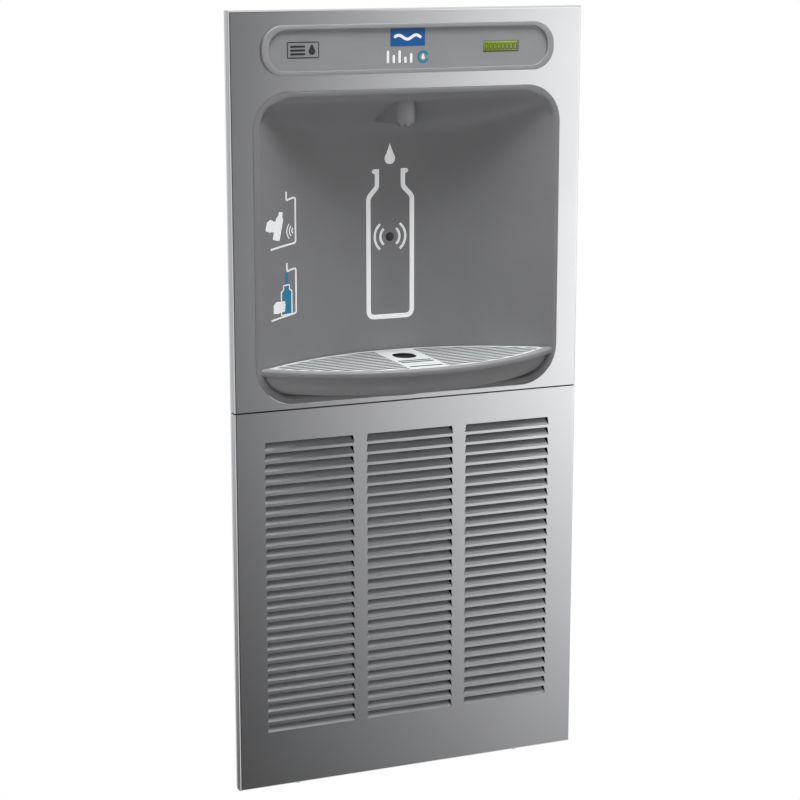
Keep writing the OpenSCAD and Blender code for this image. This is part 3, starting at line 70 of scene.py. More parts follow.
# %% Camera
CAMERA_PLACE = Vector((-1.0370, -2.4672, 0.5753))
CAMERA_LOOKS = Vector((0.376555, 0.902062, -0.210929))
camera_data = bpy.data.cameras.new("camera")
camera_data.sensor_width = 36
camera_data.lens = 99.085
camera = bpy.data.objects.new("camera", camera_data)
bpy.context.scene.collection.objects.link(camera)
camera.location = CAMERA_PLACE
camera.rotation_euler = CAMERA_LOOKS.to_track_quat("-Z", "Y").to_euler()
bpy.context.scene.camera = camera
bpy.context.scene.view_settings.view_transform = "Standard"
print("camera", [round(v, 3) for v in camera.location])

# %% [markdown]
# ## Sizes
# Lengths are in millimetres unless a line says metres, and MM turns them into metres. The
# origin lies on the wall's surface in the middle of the face, and Y runs into the wall.

# %% Sizes of the face
FACE_X, FACE_TOP, FACE_LOW = 228.6, 478.5, -478.5
FRONT, SHEET = -16.0, 1.2
SEAM_TOP, SEAM_LOW, SEAM_MIDDLE = 2.8, 1.2, 2
print("face", 2 * FACE_X, "by", FACE_TOP - FACE_LOW)

# %% [markdown]
# ## Hands for modelling
# Blender's operators act on whatever is selected. Each helper below therefore starts by
# letting go of everything and taking one object in hand, as we would with the mouse.

# %% Select one object, and parts of its mesh
def take(obj):
    """Leave every other object alone and make this one active."""
    if bpy.context.object and bpy.context.object.mode != "OBJECT":
        bpy.ops.object.mode_set(mode="OBJECT")
    bpy.ops.object.select_all(action="DESELECT")
    obj.select_set(True)
    bpy.context.view_layer.objects.active = obj


def let_go():
    bpy.ops.object.select_all(action="DESELECT")


def pick(obj, kind, test):
    """Enter edit mode and select each VERT, EDGE or FACE whose points, in mm, pass the test."""
    take(obj)
    bpy.ops.object.mode_set(mode="EDIT")
    bpy.ops.mesh.select_mode(type=kind)
    bpy.ops.mesh.select_all(action="DESELECT")
    mesh = bmesh.from_edit_mesh(obj.data)
    parts = {"VERT": mesh.verts, "EDGE": mesh.edges, "FACE": mesh.faces}[kind]
    for part in parts:
        points = [part.co] if kind == "VERT" else [v.co for v in part.verts]
        if test([p / MM for p in points]):
            part.select_set(True)
    mesh.select_flush_mode()
    bmesh.update_edit_mesh(obj.data)


def pick_all(obj):
    """Enter edit mode with the whole mesh selected."""
    take(obj)
    bpy.ops.object.mode_set(mode="EDIT")
    bpy.ops.mesh.select_all(action="SELECT")


def done():
    bpy.ops.object.mode_set(mode="OBJECT")


# %% Add simple bodies at their size and place
def settle(name):
    """Name the newest primitive."""
    obj = bpy.context.object
    obj.name = obj.data.name = name
    bpy.ops.object.transform_apply(location=True, rotation=True, scale=True)
    return obj


def block(name, x, y, z):
    """A box between two corners."""
    let_go()
    middle = [(a + b) / 2 * MM for a, b in (x, y, z)]
    bpy.ops.mesh.primitive_cube_add(size=1, location=middle)
    bpy.context.object.scale = [(b - a) * MM for a, b in (x, y, z)]
    return settle(name)


def rod(name, middle, radius, length, sides=64):
    """An upright round bar about its middle."""
    let_go()
    bpy.ops.mesh.primitive_cylinder_add(vertices=sides, radius=radius * MM, depth=length * MM,
                                        location=[v * MM for v in middle])
    return settle(name)


def plate(name, outline, low, high):
    """A flat outline of (x, y) points, swept up from low to high."""
    let_go()
    bpy.ops.mesh.primitive_circle_add(vertices=len(outline), radius=1, fill_type="NGON")
    obj = settle(name)
    for vertex, point in zip(obj.data.vertices, outline):
        vertex.co = [v * MM for v in (*point, low)]
    pick_all(obj)
    bpy.ops.mesh.extrude_region_move(TRANSFORM_OT_translate={"value": (0, 0, (high - low) * MM)})
    bpy.ops.mesh.select_all(action="SELECT")
    bpy.ops.mesh.normals_make_consistent(inside=False)
    done()
    return obj


# %% Round, cut, copy and move
def round_edges(obj, test, width, steps=5):
    """Bevel the edges whose ends pass the test, as a file would round them."""
    pick(obj, "EDGE", test)
    bpy.ops.mesh.bevel(offset=width * MM, segments=steps, affect="EDGES", clamp_overlap=True)
    done()


def modify(obj, kind, **settings):
    """Add one modifier, set it and apply it."""
    take(obj)
    modifier = obj.modifiers.new(kind.lower(), kind)
    for key, value in settings.items():
        setattr(modifier, key, value)
    bpy.ops.object.modifier_apply(modifier=modifier.name)
    return obj


def combine(obj, tool, operation="DIFFERENCE"):
    """Boolean with a tool body, which is then removed."""
    modify(obj, "BOOLEAN", operation=operation, object=tool, solver="EXACT")
    bpy.data.objects.remove(tool)
    return obj


def twin(obj, name):
    """A copy with a mesh of its own."""
    copy = obj.copy()
    copy.data = obj.data.copy()
    bpy.context.scene.collection.objects.link(copy)
    copy.name = copy.data.name = name
    return copy


def shift(obj, x):
    """Move a mesh sideways and leave its origin where it is."""
    for vertex in obj.data.vertices:
        vertex.co.x += x * MM


def repeat(obj, count, step):
    """Copies at equal steps, as the array modifier makes them."""
    modify(obj, "ARRAY", count=count, use_relative_offset=False, use_constant_offset=True,
           constant_offset_displace=[v * MM for v in step])


def face_forward(obj):
    """Make a skin's normals agree and point to the front."""
    pick(obj, "FACE", lambda p: True)
    bpy.ops.mesh.normals_make_consistent(inside=False)
    done()
    if sum(f.normal.y * f.area for f in obj.data.polygons) > 0:
        obj.data.flip_normals()


def from_bmesh(mesh, name):
    """Make an object of a mesh that was written point by point."""
    data = bpy.data.meshes.new(name)
    mesh.to_mesh(data)
    mesh.free()
    obj = bpy.data.objects.new(name, data)
    bpy.context.scene.collection.objects.link(obj)
    return obj


def frame_block(name, x, y, z, low_r, top_r, steps=20):
    """A box whose four edges along Y are rounded, with one radius below and one above."""
    obj = block(name, x, y, z)
    middle = sum(z) / 2
    along = lambda p: abs(p[0].y - p[1].y) > (y[1] - y[0]) / 2
    round_edges(obj, lambda p: along(p) and p[0].z < middle, low_r, steps)
    round_edges(obj, lambda p: along(p) and p[0].z > middle, top_r, steps)
    return obj


# %% [markdown]
# ## Finishes
# Every finish is built from nodes that read object coordinates, so a pattern stays on its
# piece and needs no picture. A uniform value sits on the shader's own socket, and only what
# varies over the surface is wired.

# %% Helpers for finishes
def colour(r, g, b):
    """An sRGB colour of 0 to 255 as the linear values that a shader takes."""
    def linear(v):
        v /= 255
        return v / 12.92 if v <= 0.04045 else ((v + 0.055) / 1.055) ** 2.4
    return (linear(r), linear(g), linear(b), 1)


def map_range(tree, source, ins, outs=(0, 1)):
    """Turn one range of values into another."""
    node = tree.nodes.new("ShaderNodeMapRange")
    for key, value in zip(("From Min", "From Max", "To Min", "To Max"), (*ins, *outs)):
        node.inputs[key].default_value = value
    tree.links.new(source, node.inputs["Value"])
    return node.outputs["Result"]


class Finish:
    """A principled material with short calls for the nodes that most finishes share."""

    def __init__(self, name, base, rough, metal=0.0, **sockets):
        self.material = bpy.data.materials.new(name)
        self.material.use_nodes = True
        self.tree = self.material.node_tree
        self.shader = self.tree.nodes["Principled BSDF"]
        self.base, self.rough = base, rough
        self.shader.inputs["Base Color"].default_value = base
        self.shader.inputs["Roughness"].default_value = rough
        self.shader.inputs["Metallic"].default_value = metal
        for key, value in sockets.items():
            self.shader.inputs[key.replace("_", " ")].default_value = value
        self.place = self.tree.nodes.new("ShaderNodeTexCoord").outputs["Object"]

    def link(self, a, b):
        self.tree.links.new(a, b)

    def noise(self, scale, stretch=(1, 1, 1), detail=3.0, kind="ShaderNodeTexNoise"):
        """Noise of so many cells a metre, drawn out by unequal stretch."""
        mapping = self.tree.nodes.new("ShaderNodeMapping")
        mapping.inputs["Scale"].default_value = stretch
        node = self.tree.nodes.new(kind)
        node.inputs["Scale"].default_value = scale
        if "Detail" in node.inputs:
            node.inputs["Detail"].default_value = detail
        self.link(self.place, mapping.inputs["Vector"])
        self.link(mapping.outputs["Vector"], node.inputs["Vector"])
        return node

    def vary_rough(self, source, spread):
        rough = map_range(self.tree, source, (0, 1), (self.rough - spread, self.rough + spread))
        self.link(rough, self.shader.inputs["Roughness"])

    def vary_base(self, source, spread):
        ramp = self.tree.nodes.new("ShaderNodeValToRGB")
        for element, share in zip(ramp.color_ramp.elements, (1 - spread, 1 + spread)):
            element.color = [min(1, c * share) for c in self.base[:3]] + [1]
        ramp.color_ramp.elements[0].position = 0.3
        ramp.color_ramp.elements[1].position = 0.7
        self.link(source, ramp.inputs["Fac"])
        self.link(ramp.outputs["Color"], self.shader.inputs["Base Color"])

    def bump(self, source, height_mm, strength):
        node = self.tree.nodes.new("ShaderNodeBump")
        node.inputs["Distance"].default_value = height_mm * MM
        node.inputs["Strength"].default_value = strength
        self.link(source, node.inputs["Height"])
        self.link(node.outputs["Normal"], self.shader.inputs["Normal"])


# %% Brushed steel of the panels
def brushed(name, base, rough, along=(1, 40, 40)):
    """Steel with fine scratches drawn along one axis, and a faint cloudiness."""
    finish = Finish(name, base, rough, metal=1.0)
    scratches = finish.noise(60, along, detail=4)
    clouds = finish.noise(6, detail=2)
    finish.vary_base(clouds.outputs["Fac"], 0.025)
    finish.vary_rough(scratches.outputs["Fac"], 0.05)
    finish.bump(scratches.outputs["Fac"], 0.004, 0.4)
    return finish


panel_steel = brushed("panel_brushed_steel", (0.62, 0.625, 0.64, 1), 0.22)
grate_steel = brushed("grate_satin_steel", colour(238, 242, 242), 0.42, along=(1, 12, 12))
grate_steel.shader.inputs["Metallic"].default_value = 0.35
plain_steel = brushed("plain_stainless", (0.58, 0.585, 0.6, 1), 0.3, along=(8, 8, 8))
# A dark, rough copy of the panel steel for the folds inside the seam: painted shade.
seam_painted_shade_steel = brushed("steel_painted_shade_in_seam", (0.07, 0.07, 0.075, 1), 0.6)
# The louvre blades are the panel's steel made satin, with a darker base colour that is painted
# shade.
blade_steel_painted_shade = brushed("louvre_satin_steel_painted_shade", (0.33, 0.335, 0.345, 1), 0.5)
blade_steel_painted_shade.shader.inputs["Metallic"].default_value = 0.35
# A dark copy of the grate's steel for the walls of its slots: painted shade.
grate_slot_painted_shade = brushed("grate_slot_walls_painted_shade", (0.1, 0.105, 0.1, 1), 0.5, along=(1, 12, 12))
print("finishes", len(bpy.data.materials))


# %% Moulded plastics
def moulded(name, base, rough, grain_mm=0.9, height=0.02, **sockets):
    """Moulded plastic: a fine leathery grain and a slightly uneven gloss."""
    finish = Finish(name, base, rough, **sockets)
    grain = finish.noise(1 / (grain_mm * MM), detail=2)
    patches = finish.noise(14, detail=3)
    finish.vary_base(patches.outputs["Fac"], 0.04)
    finish.vary_rough(grain.outputs["Fac"], 0.06)
    finish.bump(grain.outputs["Fac"], height, 0.5)
    return finish


alcove_plastic = moulded("alcove_grey_moulding", colour(136, 136, 138), 0.5)
bezel_plastic = moulded("header_grey_moulding", colour(160, 160, 161), 0.38, grain_mm=0.6)
label_film = moulded("label_film_grey", colour(156, 157, 160), 0.3, grain_mm=0.4, height=0.005)
dark_plastic = moulded("dark_moulding", colour(42, 43, 46), 0.42)
pale_plastic = moulded("pale_moulding", colour(228, 228, 222), 0.4)
mount_rubber = moulded("mount_rubber", colour(32, 32, 33), 0.75, grain_mm=1.5)
jacket_foam = moulded("jacket_foam", colour(52, 53, 56), 0.9, grain_mm=3.0, height=0.5)
wire_sleeve = moulded("wire_sleeve", colour(36, 36, 38), 0.5)
print("finishes", len(bpy.data.materials))


# %% Metals behind the wall
def worked_metal(name, base, rough, scale, spread, height, kind="ShaderNodeTexNoise"):
    """Metal with spots of another brightness, such as spangle or tarnish."""
    finish = Finish(name, base, rough, metal=1.0)
    spots = finish.noise(scale, detail=4, kind=kind)
    output = "Fac" if "Fac" in spots.outputs else "Distance"
    finish.vary_base(spots.outputs[output], spread)
    finish.vary_rough(spots.outputs[output], 0.08)
    finish.bump(spots.outputs[output], height, 0.3)
    return finish


spangle = worked_metal("galvanised_spangle", (0.56, 0.58, 0.6, 1), 0.42, 70, 0.14, 0.01,
                       "ShaderNodeTexVoronoi")
copper = worked_metal("drawn_copper", (0.78, 0.4, 0.24, 1), 0.3, 45, 0.16, 0.01)
brass = worked_metal("machined_brass", (0.78, 0.6, 0.28, 1), 0.28, 60, 0.08, 0.01)
aluminium = worked_metal("mill_aluminium", (0.8, 0.81, 0.83, 1), 0.36, 90, 0.06, 0.01)
motor_steel = worked_metal("laminated_steel", (0.3, 0.31, 0.33, 1), 0.45, 120, 0.12, 0.02)
chrome = worked_metal("nozzle_chrome", (0.3, 0.3, 0.31, 1), 0.3, 40, 0.03, 0.002)
enamel = moulded("compressor_enamel", colour(24, 24, 26), 0.3, grain_mm=2.5, height=0.03)
enamel.shader.inputs["Coat Weight"].default_value = 0.4
print("finishes", len(bpy.data.materials))

# %% Clear, printed and lit finishes
filter_blue = moulded("filter_blue_shell", colour(36, 92, 160), 0.28)
water_tube = moulded("water_tube_blue", colour(70, 130, 196), 0.25)
water_tube.shader.inputs["Coat Weight"].default_value = 0.3
board_green = moulded("board_solder_mask", colour(20, 92, 46), 0.35, grain_mm=2.0)
window_glass = moulded("counter_window_film", colour(150, 170, 62), 0.25, grain_mm=0.5,
                       height=0.003)
# White print, which also glows faintly: painted light.
white_print_painted_glow = moulded("printed_white_painted_glow", colour(250, 252, 252), 0.45, grain_mm=0.5, height=0.004,
                      Emission_Color=(1, 1, 1, 1), Emission_Strength=0.2)
# The dark ink serves for real print and also for the painted shadow at the counter window.
print_blue, print_water, dark_print_and_painted_shadow = [
    moulded(name, colour(*rgb), 0.4, grain_mm=0.5, height=0.004)
    for name, rgb in (("printed_blue", (0, 92, 162)), ("printed_water_blue", (30, 134, 172)),
                      ("printed_dark_and_painted_shadow", (44, 46, 50)))]
digit_ink = moulded("counter_digits", colour(52, 74, 8), 0.4, grain_mm=0.5, height=0.003)
print("finishes", len(bpy.data.materials))


# %% Finish a piece
def complete(obj, finish, body, slot, *stands_for, angle=32, weighted=False):
    """Shade a piece, give it its finish, hang it on its body and hide the CAD parts it stands for.
    """
    take(obj)
    obj.data.materials.clear()
    obj.data.materials.append(finish.material)
    bpy.ops.object.shade_smooth_by_angle(angle=math.radians(angle))
    if weighted:
        modify(obj, "WEIGHTED_NORMAL", keep_sharp=True, weight=80)
    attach(obj, body)
    if stands_for:
        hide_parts(*stands_for)
    print(obj.name, len(obj.data.polygons), "faces")


def second_finish(obj, finish, test):
    """Give another finish to the faces whose middle and normal pass the test."""
    obj.data.materials.append(finish.material)
    for face in obj.data.polygons:
        if test(face.center / MM, face.normal):
            face.material_index = len(obj.data.materials) - 1


# %% [markdown]
# ## The upper panel
# On the real object this is one sheet of stainless steel, folded back 16 mm to the wall on
# all four sides, with a large opening for the alcove. A solid box with filed edges gives the
# outside. We open its back, give the skin its thickness inwards, and then cut the opening.
# The edges at the seam are filed less, and the folds inside the seam get darker steel as painted
# shade.

# %% Folded tray with rounded front edges
EDGE_R, SEAM_EDGE_R = 2.8, 0.7
DRAIN_Y, WASTE_R = 8, 16.4


def folded_tray(name, z):
    tray = block(name, (-FACE_X, FACE_X), (FRONT, 0), z)
    front = lambda p: all(v.y < FRONT + 0.01 for v in p)
    at_seam = lambda p: all(abs(v.z - SEAM_MIDDLE) < 2 for v in p)
    round_edges(tray, lambda p: front(p) and not at_seam(p), EDGE_R)
    round_edges(tray, lambda p: front(p) and at_seam(p), SEAM_EDGE_R, 3)
    pick(tray, "FACE", lambda p: min(v.y for v in p) > -0.01)
    bpy.ops.mesh.delete(type="FACE")
    done()
    return modify(tray, "SOLIDIFY", thickness=SHEET * MM, offset=-1, use_even_offset=True)


def waste_notch(z):
    """Room for the waste pipe through the folds at the seam."""
    return rod("notch", (0, DRAIN_Y, z), WASTE_R, 12, sides=48)


def complete_panel(tray, body, node):
    complete(tray, panel_steel, body, "panel_steel", node, weighted=True)
    # Faces inside the seam get the dark steel: painted shade in the gap.
    second_finish(tray, seam_painted_shade_steel,
                  lambda at, normal: abs(at.z - SEAM_MIDDLE) < 3 and abs(normal.z) > 0.6)


# %% Openings of the upper panel
CUT_Y = (-30, 20)
upper_face = folded_tray("upper_face", (SEAM_TOP, FACE_TOP))
combine(upper_face, frame_block("opening", (-200.5, 200.5), CUT_Y, (8, 384), 50, 45))
combine(upper_face, block("window_cut", (91, 145.6), CUT_Y, (421.2, 441.8)))
combine(upper_face, waste_notch(3))
complete_panel(upper_face, "station", "upper_panel")

# %% [markdown]
# ## The louvred panel
# Three columns of 28 slots are punched in the lower panel, a little wider at the bottom than
# at the top. Below each slot the metal is rolled back and up into a blade, which hides the
# machine. One cutter and one blade are modelled, and both are copied along the pitch.

# %% Slots and screw holes
LOUVRE_TOP, LOUVRE_PITCH, LOUVRE_COUNT = -36.7, 13.33, 28
SLOT_H, SLOT_HALF, SLOT_SLANT = 8.3, 58.5, 1.7
COLUMN_PITCH = 133
ROLL_R = 1.5
SLOT_LOW = LOUVRE_TOP - SLOT_H - ROLL_R
SCREW_X, SCREW_R = 150, 2.8

lower_face = folded_tray("louvred_face", (FACE_LOW, SEAM_LOW))
slots = block("slots", (-SLOT_HALF, SLOT_HALF), (-30, -5), (SLOT_LOW, LOUVRE_TOP))
pick(slots, "VERT", lambda p: p[0].z > LOUVRE_TOP - 0.01)
bpy.ops.transform.resize(value=(1 - SLOT_SLANT / SLOT_HALF, 1, 1))
done()
repeat(slots, LOUVRE_COUNT, (0, 0, -LOUVRE_PITCH))
repeat(slots, 3, (COLUMN_PITCH, 0, 0))
shift(slots, -COLUMN_PITCH)
combine(lower_face, slots)
combine(lower_face, waste_notch(1))
for side in (-1, 1):
    combine(lower_face, rod("screw_hole", (SCREW_X * side, -7, FACE_LOW), SCREW_R, 8, sides=24))
complete_panel(lower_face, "access_panel", "lower_panel")

# %% Blades
BLADE_BACK, BLADE_RISE, BLADE_T = -9.2, 7.4, 0.9
BLADE_GAP, BLADE_SLANT = 0.4, 2.6
slope = math.radians(45)
profile = [(FRONT + ROLL_R - ROLL_R * math.cos(slope * k / 4),
            SLOT_LOW + ROLL_R * math.sin(slope * k / 4)) for k in range(5)]
profile.append((BLADE_BACK, SLOT_LOW + BLADE_RISE))


def strip(name, half, points):
    """A strip along X: one edge is drawn out from point to point of its profile."""
    let_go()
    bpy.ops.mesh.primitive_plane_add(size=1)
    obj = settle(name)
    (y0, z0), (y1, z1) = points[:2]
    for vertex in obj.data.vertices:
        first = vertex.co.y < 0
        side = half if vertex.co.x > 0 else -half
        vertex.co = Vector((side, y0 if first else y1, z0 if first else z1)) * MM
    for (ya, za), (yb, zb) in zip(points[1:], points[2:]):
        pick(obj, "EDGE", lambda p: all(abs(v.y - ya) + abs(v.z - za) < 0.01 for v in p))
        bpy.ops.mesh.extrude_edges_move(
            TRANSFORM_OT_translate={"value": (0, (yb - ya) * MM, (zb - za) * MM)})
        done()
    return obj


blade = strip("blade", SLOT_HALF - BLADE_GAP, profile)
pick(blade, "VERT", lambda p: p[0].y > BLADE_BACK - 0.1)
bpy.ops.transform.resize(value=(1 - BLADE_SLANT / SLOT_HALF, 1, 1))
done()
face_forward(blade)
modify(blade, "SOLIDIFY", thickness=BLADE_T * MM, offset=-1)
repeat(blade, LOUVRE_COUNT, (0, 0, -LOUVRE_PITCH))
for name, side in (("left", -1), ("middle", 0), ("right", 1)):
    column = twin(blade, "blades_" + name)
    shift(column, side * COLUMN_PITCH)
    complete(column, blade_steel_painted_shade, "access_panel", "panel_steel", angle=50)
bpy.data.objects.remove(blade)

# %% [markdown]
# ## The alcove
# The alcove is one moulding. Seen from above, its back is a single arc from side to side. Its
# ceiling falls towards the back behind a soft hood edge, and a convex lip laps over the steel.
# Booleans would leave its meetings sharp, but a moulding has none, so the surface is lofted:
# rings that follow the opening's outline step inwards, and each point's depth is the smoothed
# least of the arc, the hood and the side's draft. Solidify then gives the wall.

# %% Outline rings and lofts
ARC_Y, ARC_R = -263.7, 313.7
BACK_Y = 49.8


def ring(half, z0, z1, low_r, top_r, inset=0.0):
    """Points round a rounded rectangle, stepped inwards, always the same number."""
    corner, run = 16, 60
    half, z0, z1 = half - inset, z0 + inset, z1 - inset
    low_r, top_r = max(low_r - inset, 0.6), max(top_r - inset, 0.6)
    limit = min(half, (z1 - z0) / 2) * 0.98
    low_r, top_r = min(low_r, limit), min(top_r, limit)
    centres = [(half - low_r, z0 + low_r, low_r, -90), (half - top_r, z1 - top_r, top_r, 0),
               (-half + top_r, z1 - top_r, top_r, 90), (-half + low_r, z0 + low_r, low_r, 180)]
    points = []
    for k, (cx, cz, r, start) in enumerate(centres):
        turn = [math.radians(start + 90 * i / corner) for i in range(corner + 1)]
        bend = [(cx + r * math.cos(t), cz + r * math.sin(t)) for t in turn]
        nx, nz, nr, nstart = centres[(k + 1) % 4]
        goal = (nx + nr * math.cos(math.radians(nstart)), nz + nr * math.sin(math.radians(nstart)))
        points += bend
        points += [(bend[-1][0] + (goal[0] - bend[-1][0]) * i / run,
                    bend[-1][1] + (goal[1] - bend[-1][1]) * i / run) for i in range(1, run)]
    return points


def loft(name, rings):
    """Bridge rings of equal count into a skin, and fill the last one."""
    mesh = bmesh.new()
    loops = [[mesh.verts.new([v * MM for v in p]) for p in points] for points in rings]
    for a, b in zip(loops, loops[1:]):
        for i in range(len(a)):
            j = (i + 1) % len(a)
            mesh.faces.new((a[i], a[j], b[j], b[i]))
    mesh.faces.new(loops[-1])
    obj = from_bmesh(mesh, name)
    pick_all(obj)
    bpy.ops.mesh.remove_doubles(threshold=1e-7)
    done()
    return obj


# %% Depth of the alcove at any point
# The hood's edge rounds off from HOOD_TOP down to HOOD_END, where the ceiling starts. Across
# the outline the lip rises to its crest, and the side falls away from there to its foot.
HOOD_TOP, HOOD_END, HOOD_RISE, HOOD_DEPTH = 382, 367.9, 15, 10
CEILING_Y, CEILING_SLOPE = -9.37, 0.536
LIP_Y, LIP_CREST, LIP_FOOT, LIP_DROP = FRONT - 0.6, 2.2, 13.9, 1.1
SIDE_DEPTH, HOOD_BLEND, SIDE_BLEND = 64, 34, 8
NO_WALL = 200


def soft_min(a, b, reach):
    """The lesser of two depths, with their meeting filled by a round of that reach."""
    share = max(reach - abs(a - b), 0) / reach
    return min(a, b) - share * share * reach / 4


def wall_depth(x):
    return ARC_Y + math.sqrt(max(ARC_R ** 2 - x * x, 1))


def hood_depth(z):
    """The hood's round edge, then the ceiling that falls to the back."""
    if z >= HOOD_TOP:
        return FRONT
    if z >= HOOD_END:
        return FRONT + HOOD_DEPTH * (1 - math.sqrt(1 - ((HOOD_TOP - z) / HOOD_RISE) ** 2))
    return CEILING_Y + (HOOD_END - z) / CEILING_SLOPE


def lip_depth(step):
    """The convex lip and the side below it, by the distance from the lip's outer edge."""
    if step >= LIP_FOOT:
        return NO_WALL
    if step <= LIP_CREST:
        return LIP_Y + LIP_DROP * (1 - math.sqrt(1 - ((LIP_CREST - step) / LIP_CREST) ** 2))
    share = (step - LIP_CREST) / (LIP_FOOT - LIP_CREST)
    return LIP_Y + SIDE_DEPTH * (1 - (1 - share ** 4) ** 0.25)


def alcove_depth(x, z, step):
    """Depth at a place so far from the lip's outer edge."""
    depth = soft_min(wall_depth(x), hood_depth(z), HOOD_BLEND)
    side = lip_depth(step)
    reach = min(max((min(depth, side) - FRONT) * 0.6, 0.05), SIDE_BLEND)
    return min(max(soft_min(depth, side, reach), LIP_Y), BACK_Y)


# %% Lip, hollow and wall thickness
steps = [0, 0.2, 0.5, 1.0, 1.6, 2.2, 3.2, 4.2, 5.2, 6.2, 7.2, 8.0, 8.8, 9.6, 10.4, 11.1, 11.8,
         12.4, 12.9, 13.3, 13.6, 13.9, 14.6]
steps += [14.6 + 2.6 * k for k in range(1, 22)]
steps += [72 + 8 * k for k in range(14)] + [181, 185, 187]
OUTER_LIP = (200.2, 8.3, 383.7, 49.7, 44.7)
LIP_BACK_Y, ALCOVE_T = -14.4, 2.4
rings = [[(x, LIP_BACK_Y, z) for x, z in ring(*OUTER_LIP)]]
for step in steps:
    rings.append([(x, alcove_depth(x, z, step), z) for x, z in ring(*OUTER_LIP, step)])
alcove = loft("alcove_moulding", rings)
face_forward(alcove)
modify(alcove, "SOLIDIFY", thickness=ALCOVE_T * MM, offset=-1)
complete(alcove, alcove_plastic, "station", "alcove_plastic", "alcove_shell", angle=60)
print("alcove", [round(v / MM, 1) for v in alcove.dimensions])

# %% [markdown]
# ## The basin
# The basin bulges out of the alcove in one arc. Its rim is a flat band, and the bowl below
# steps in and rounds under. Profiles turned about the arc's far centre give both, and boxes
# trim the turned bodies to the opening.

# %% Turned bodies
RIM_Y, RIM_R = 205.2, 295.2
CORE_R, WELL_CORE_R = 150, 120


def turned(name, profile_rz):
    """Spin a profile of (radius, height) about the vertical axis through the rim's centre."""
    let_go()
    bpy.ops.mesh.primitive_circle_add(vertices=len(profile_rz), radius=1, fill_type="NOTHING")
    obj = settle(name)
    for vertex, (r, z) in zip(obj.data.vertices, profile_rz):
        vertex.co = Vector((0, RIM_Y - r, z)) * MM
    pick(obj, "EDGE", lambda p: True)
    bpy.ops.mesh.spin(steps=360, angle=math.tau, center=(0, RIM_Y * MM, 0), axis=(0, 0, 1),
                      use_auto_merge=True)
    bpy.ops.mesh.select_all(action="SELECT")
    bpy.ops.mesh.remove_doubles(threshold=1e-6)
    bpy.ops.mesh.normals_make_consistent(inside=False)
    done()
    return obj


def quarter(r, z, radius, start):
    """Points of a quarter round about (r, z), from a start angle in degrees."""
    turns = [math.radians(start + 15 * k) for k in range(7)]
    return [(r + radius * math.cos(t), z + radius * math.sin(t)) for t in turns]


def back_arc(gap):
    """The arc of the alcove's back as a solid, kept a gap away from the wall."""
    return rod("arc", (0, ARC_Y, 50), ARC_R - gap, 60, sides=720)


# %% Rim
RIM_X, RIM_TOP, RIM_LOW = 195.3, 54, 46
rim_profile = ([(CORE_R, RIM_TOP)] + quarter(RIM_R - 3, RIM_TOP - 3, 3, 0)[::-1]
               + quarter(RIM_R - 2, RIM_LOW + 2, 2, -90)[::-1] + [(CORE_R, RIM_LOW)])
rim = turned("rim", rim_profile)
combine(rim, block("trim", (-RIM_X, RIM_X), (-100, -15), (0, 100)), "INTERSECT")
print("rim", len(rim.data.polygons))

# %% Bowl, hollowed under the grate
BOWL_X, DECK_X, WELL_X = 187, 192.2, 182
bowl_profile = [(CORE_R, 47), (288.2, 47), (287.8, 42), (286, 36), (282.5, 30), (277, 24.5),
                (270, 20.6), (262, 19), (CORE_R, 19)]
bowl = turned("bowl", bowl_profile)
bowl_trim = block("trim", (-BOWL_X, BOWL_X), (-100, 30), (18, 60))
round_edges(bowl_trim, lambda p: all(v.z < 19 for v in p) and abs(p[0].x - p[1].x) < 1, 17, 8)
combine(bowl, bowl_trim, "INTERSECT")
deck = block("deck", (-DECK_X, DECK_X), (-15.2, 80), (44, RIM_TOP))
combine(deck, back_arc(0.3), "INTERSECT")
basin = combine(rim, deck, "UNION")
combine(basin, bowl, "UNION")
well = turned("well", [(WELL_CORE_R, 22), (262, 22), (272, 24.5), (279, 30), (282, 38),
                       (283, 60), (WELL_CORE_R, 60)])
well_trim = block("trim", (-WELL_X, WELL_X), (-100, 26), (20, 70))
combine(well_trim, back_arc(4), "INTERSECT")
combine(well, well_trim, "INTERSECT")
combine(basin, well)
recess = turned("recess", [(WELL_CORE_R, 50.8), (287.6, 50.8), (287.6, 60), (WELL_CORE_R, 60)])
combine(recess, back_arc(1.2), "INTERSECT")
combine(basin, recess)
combine(basin, rod("drain", (0, DRAIN_Y, 22), 25, 30))
complete(basin, alcove_plastic, "station", "alcove_plastic", "basin_bowl", angle=35)


# %% [markdown]
# ## Machine parts from the CAD
# The parts behind the wall, the grate and the small fittings already have their right shape.
# A copy of each is merged, its flat faces are joined, and its hard edges get the slight
# rounding that every made thing has. The copy then stands for the CAD part.

# %% Polish a CAD part
def polished(node, edge_mm):
    """Dress a copy of a CAD part, and round its hard edges unless edge_mm is 0."""
    piece = twin(nodes[node], node + "_dressed")
    for key in [k for k in piece.keys() if k.startswith("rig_")]:
        del piece[key]
    piece.parent = None
    pick_all(piece)
    bpy.ops.mesh.remove_doubles(threshold=2e-6)
    bpy.ops.mesh.dissolve_limited(angle_limit=math.radians(0.6))
    done()
    if edge_mm:
        modify(piece, "BEVEL", width=edge_mm * MM, segments=2, limit_method="ANGLE",
               angle_limit=math.radians(50), use_clamp_overlap=True, harden_normals=False)
    slot = SLOT_OF[node]
    complete(piece, FINISH_OF[slot], BODY_OF[node], slot, node, angle=34)


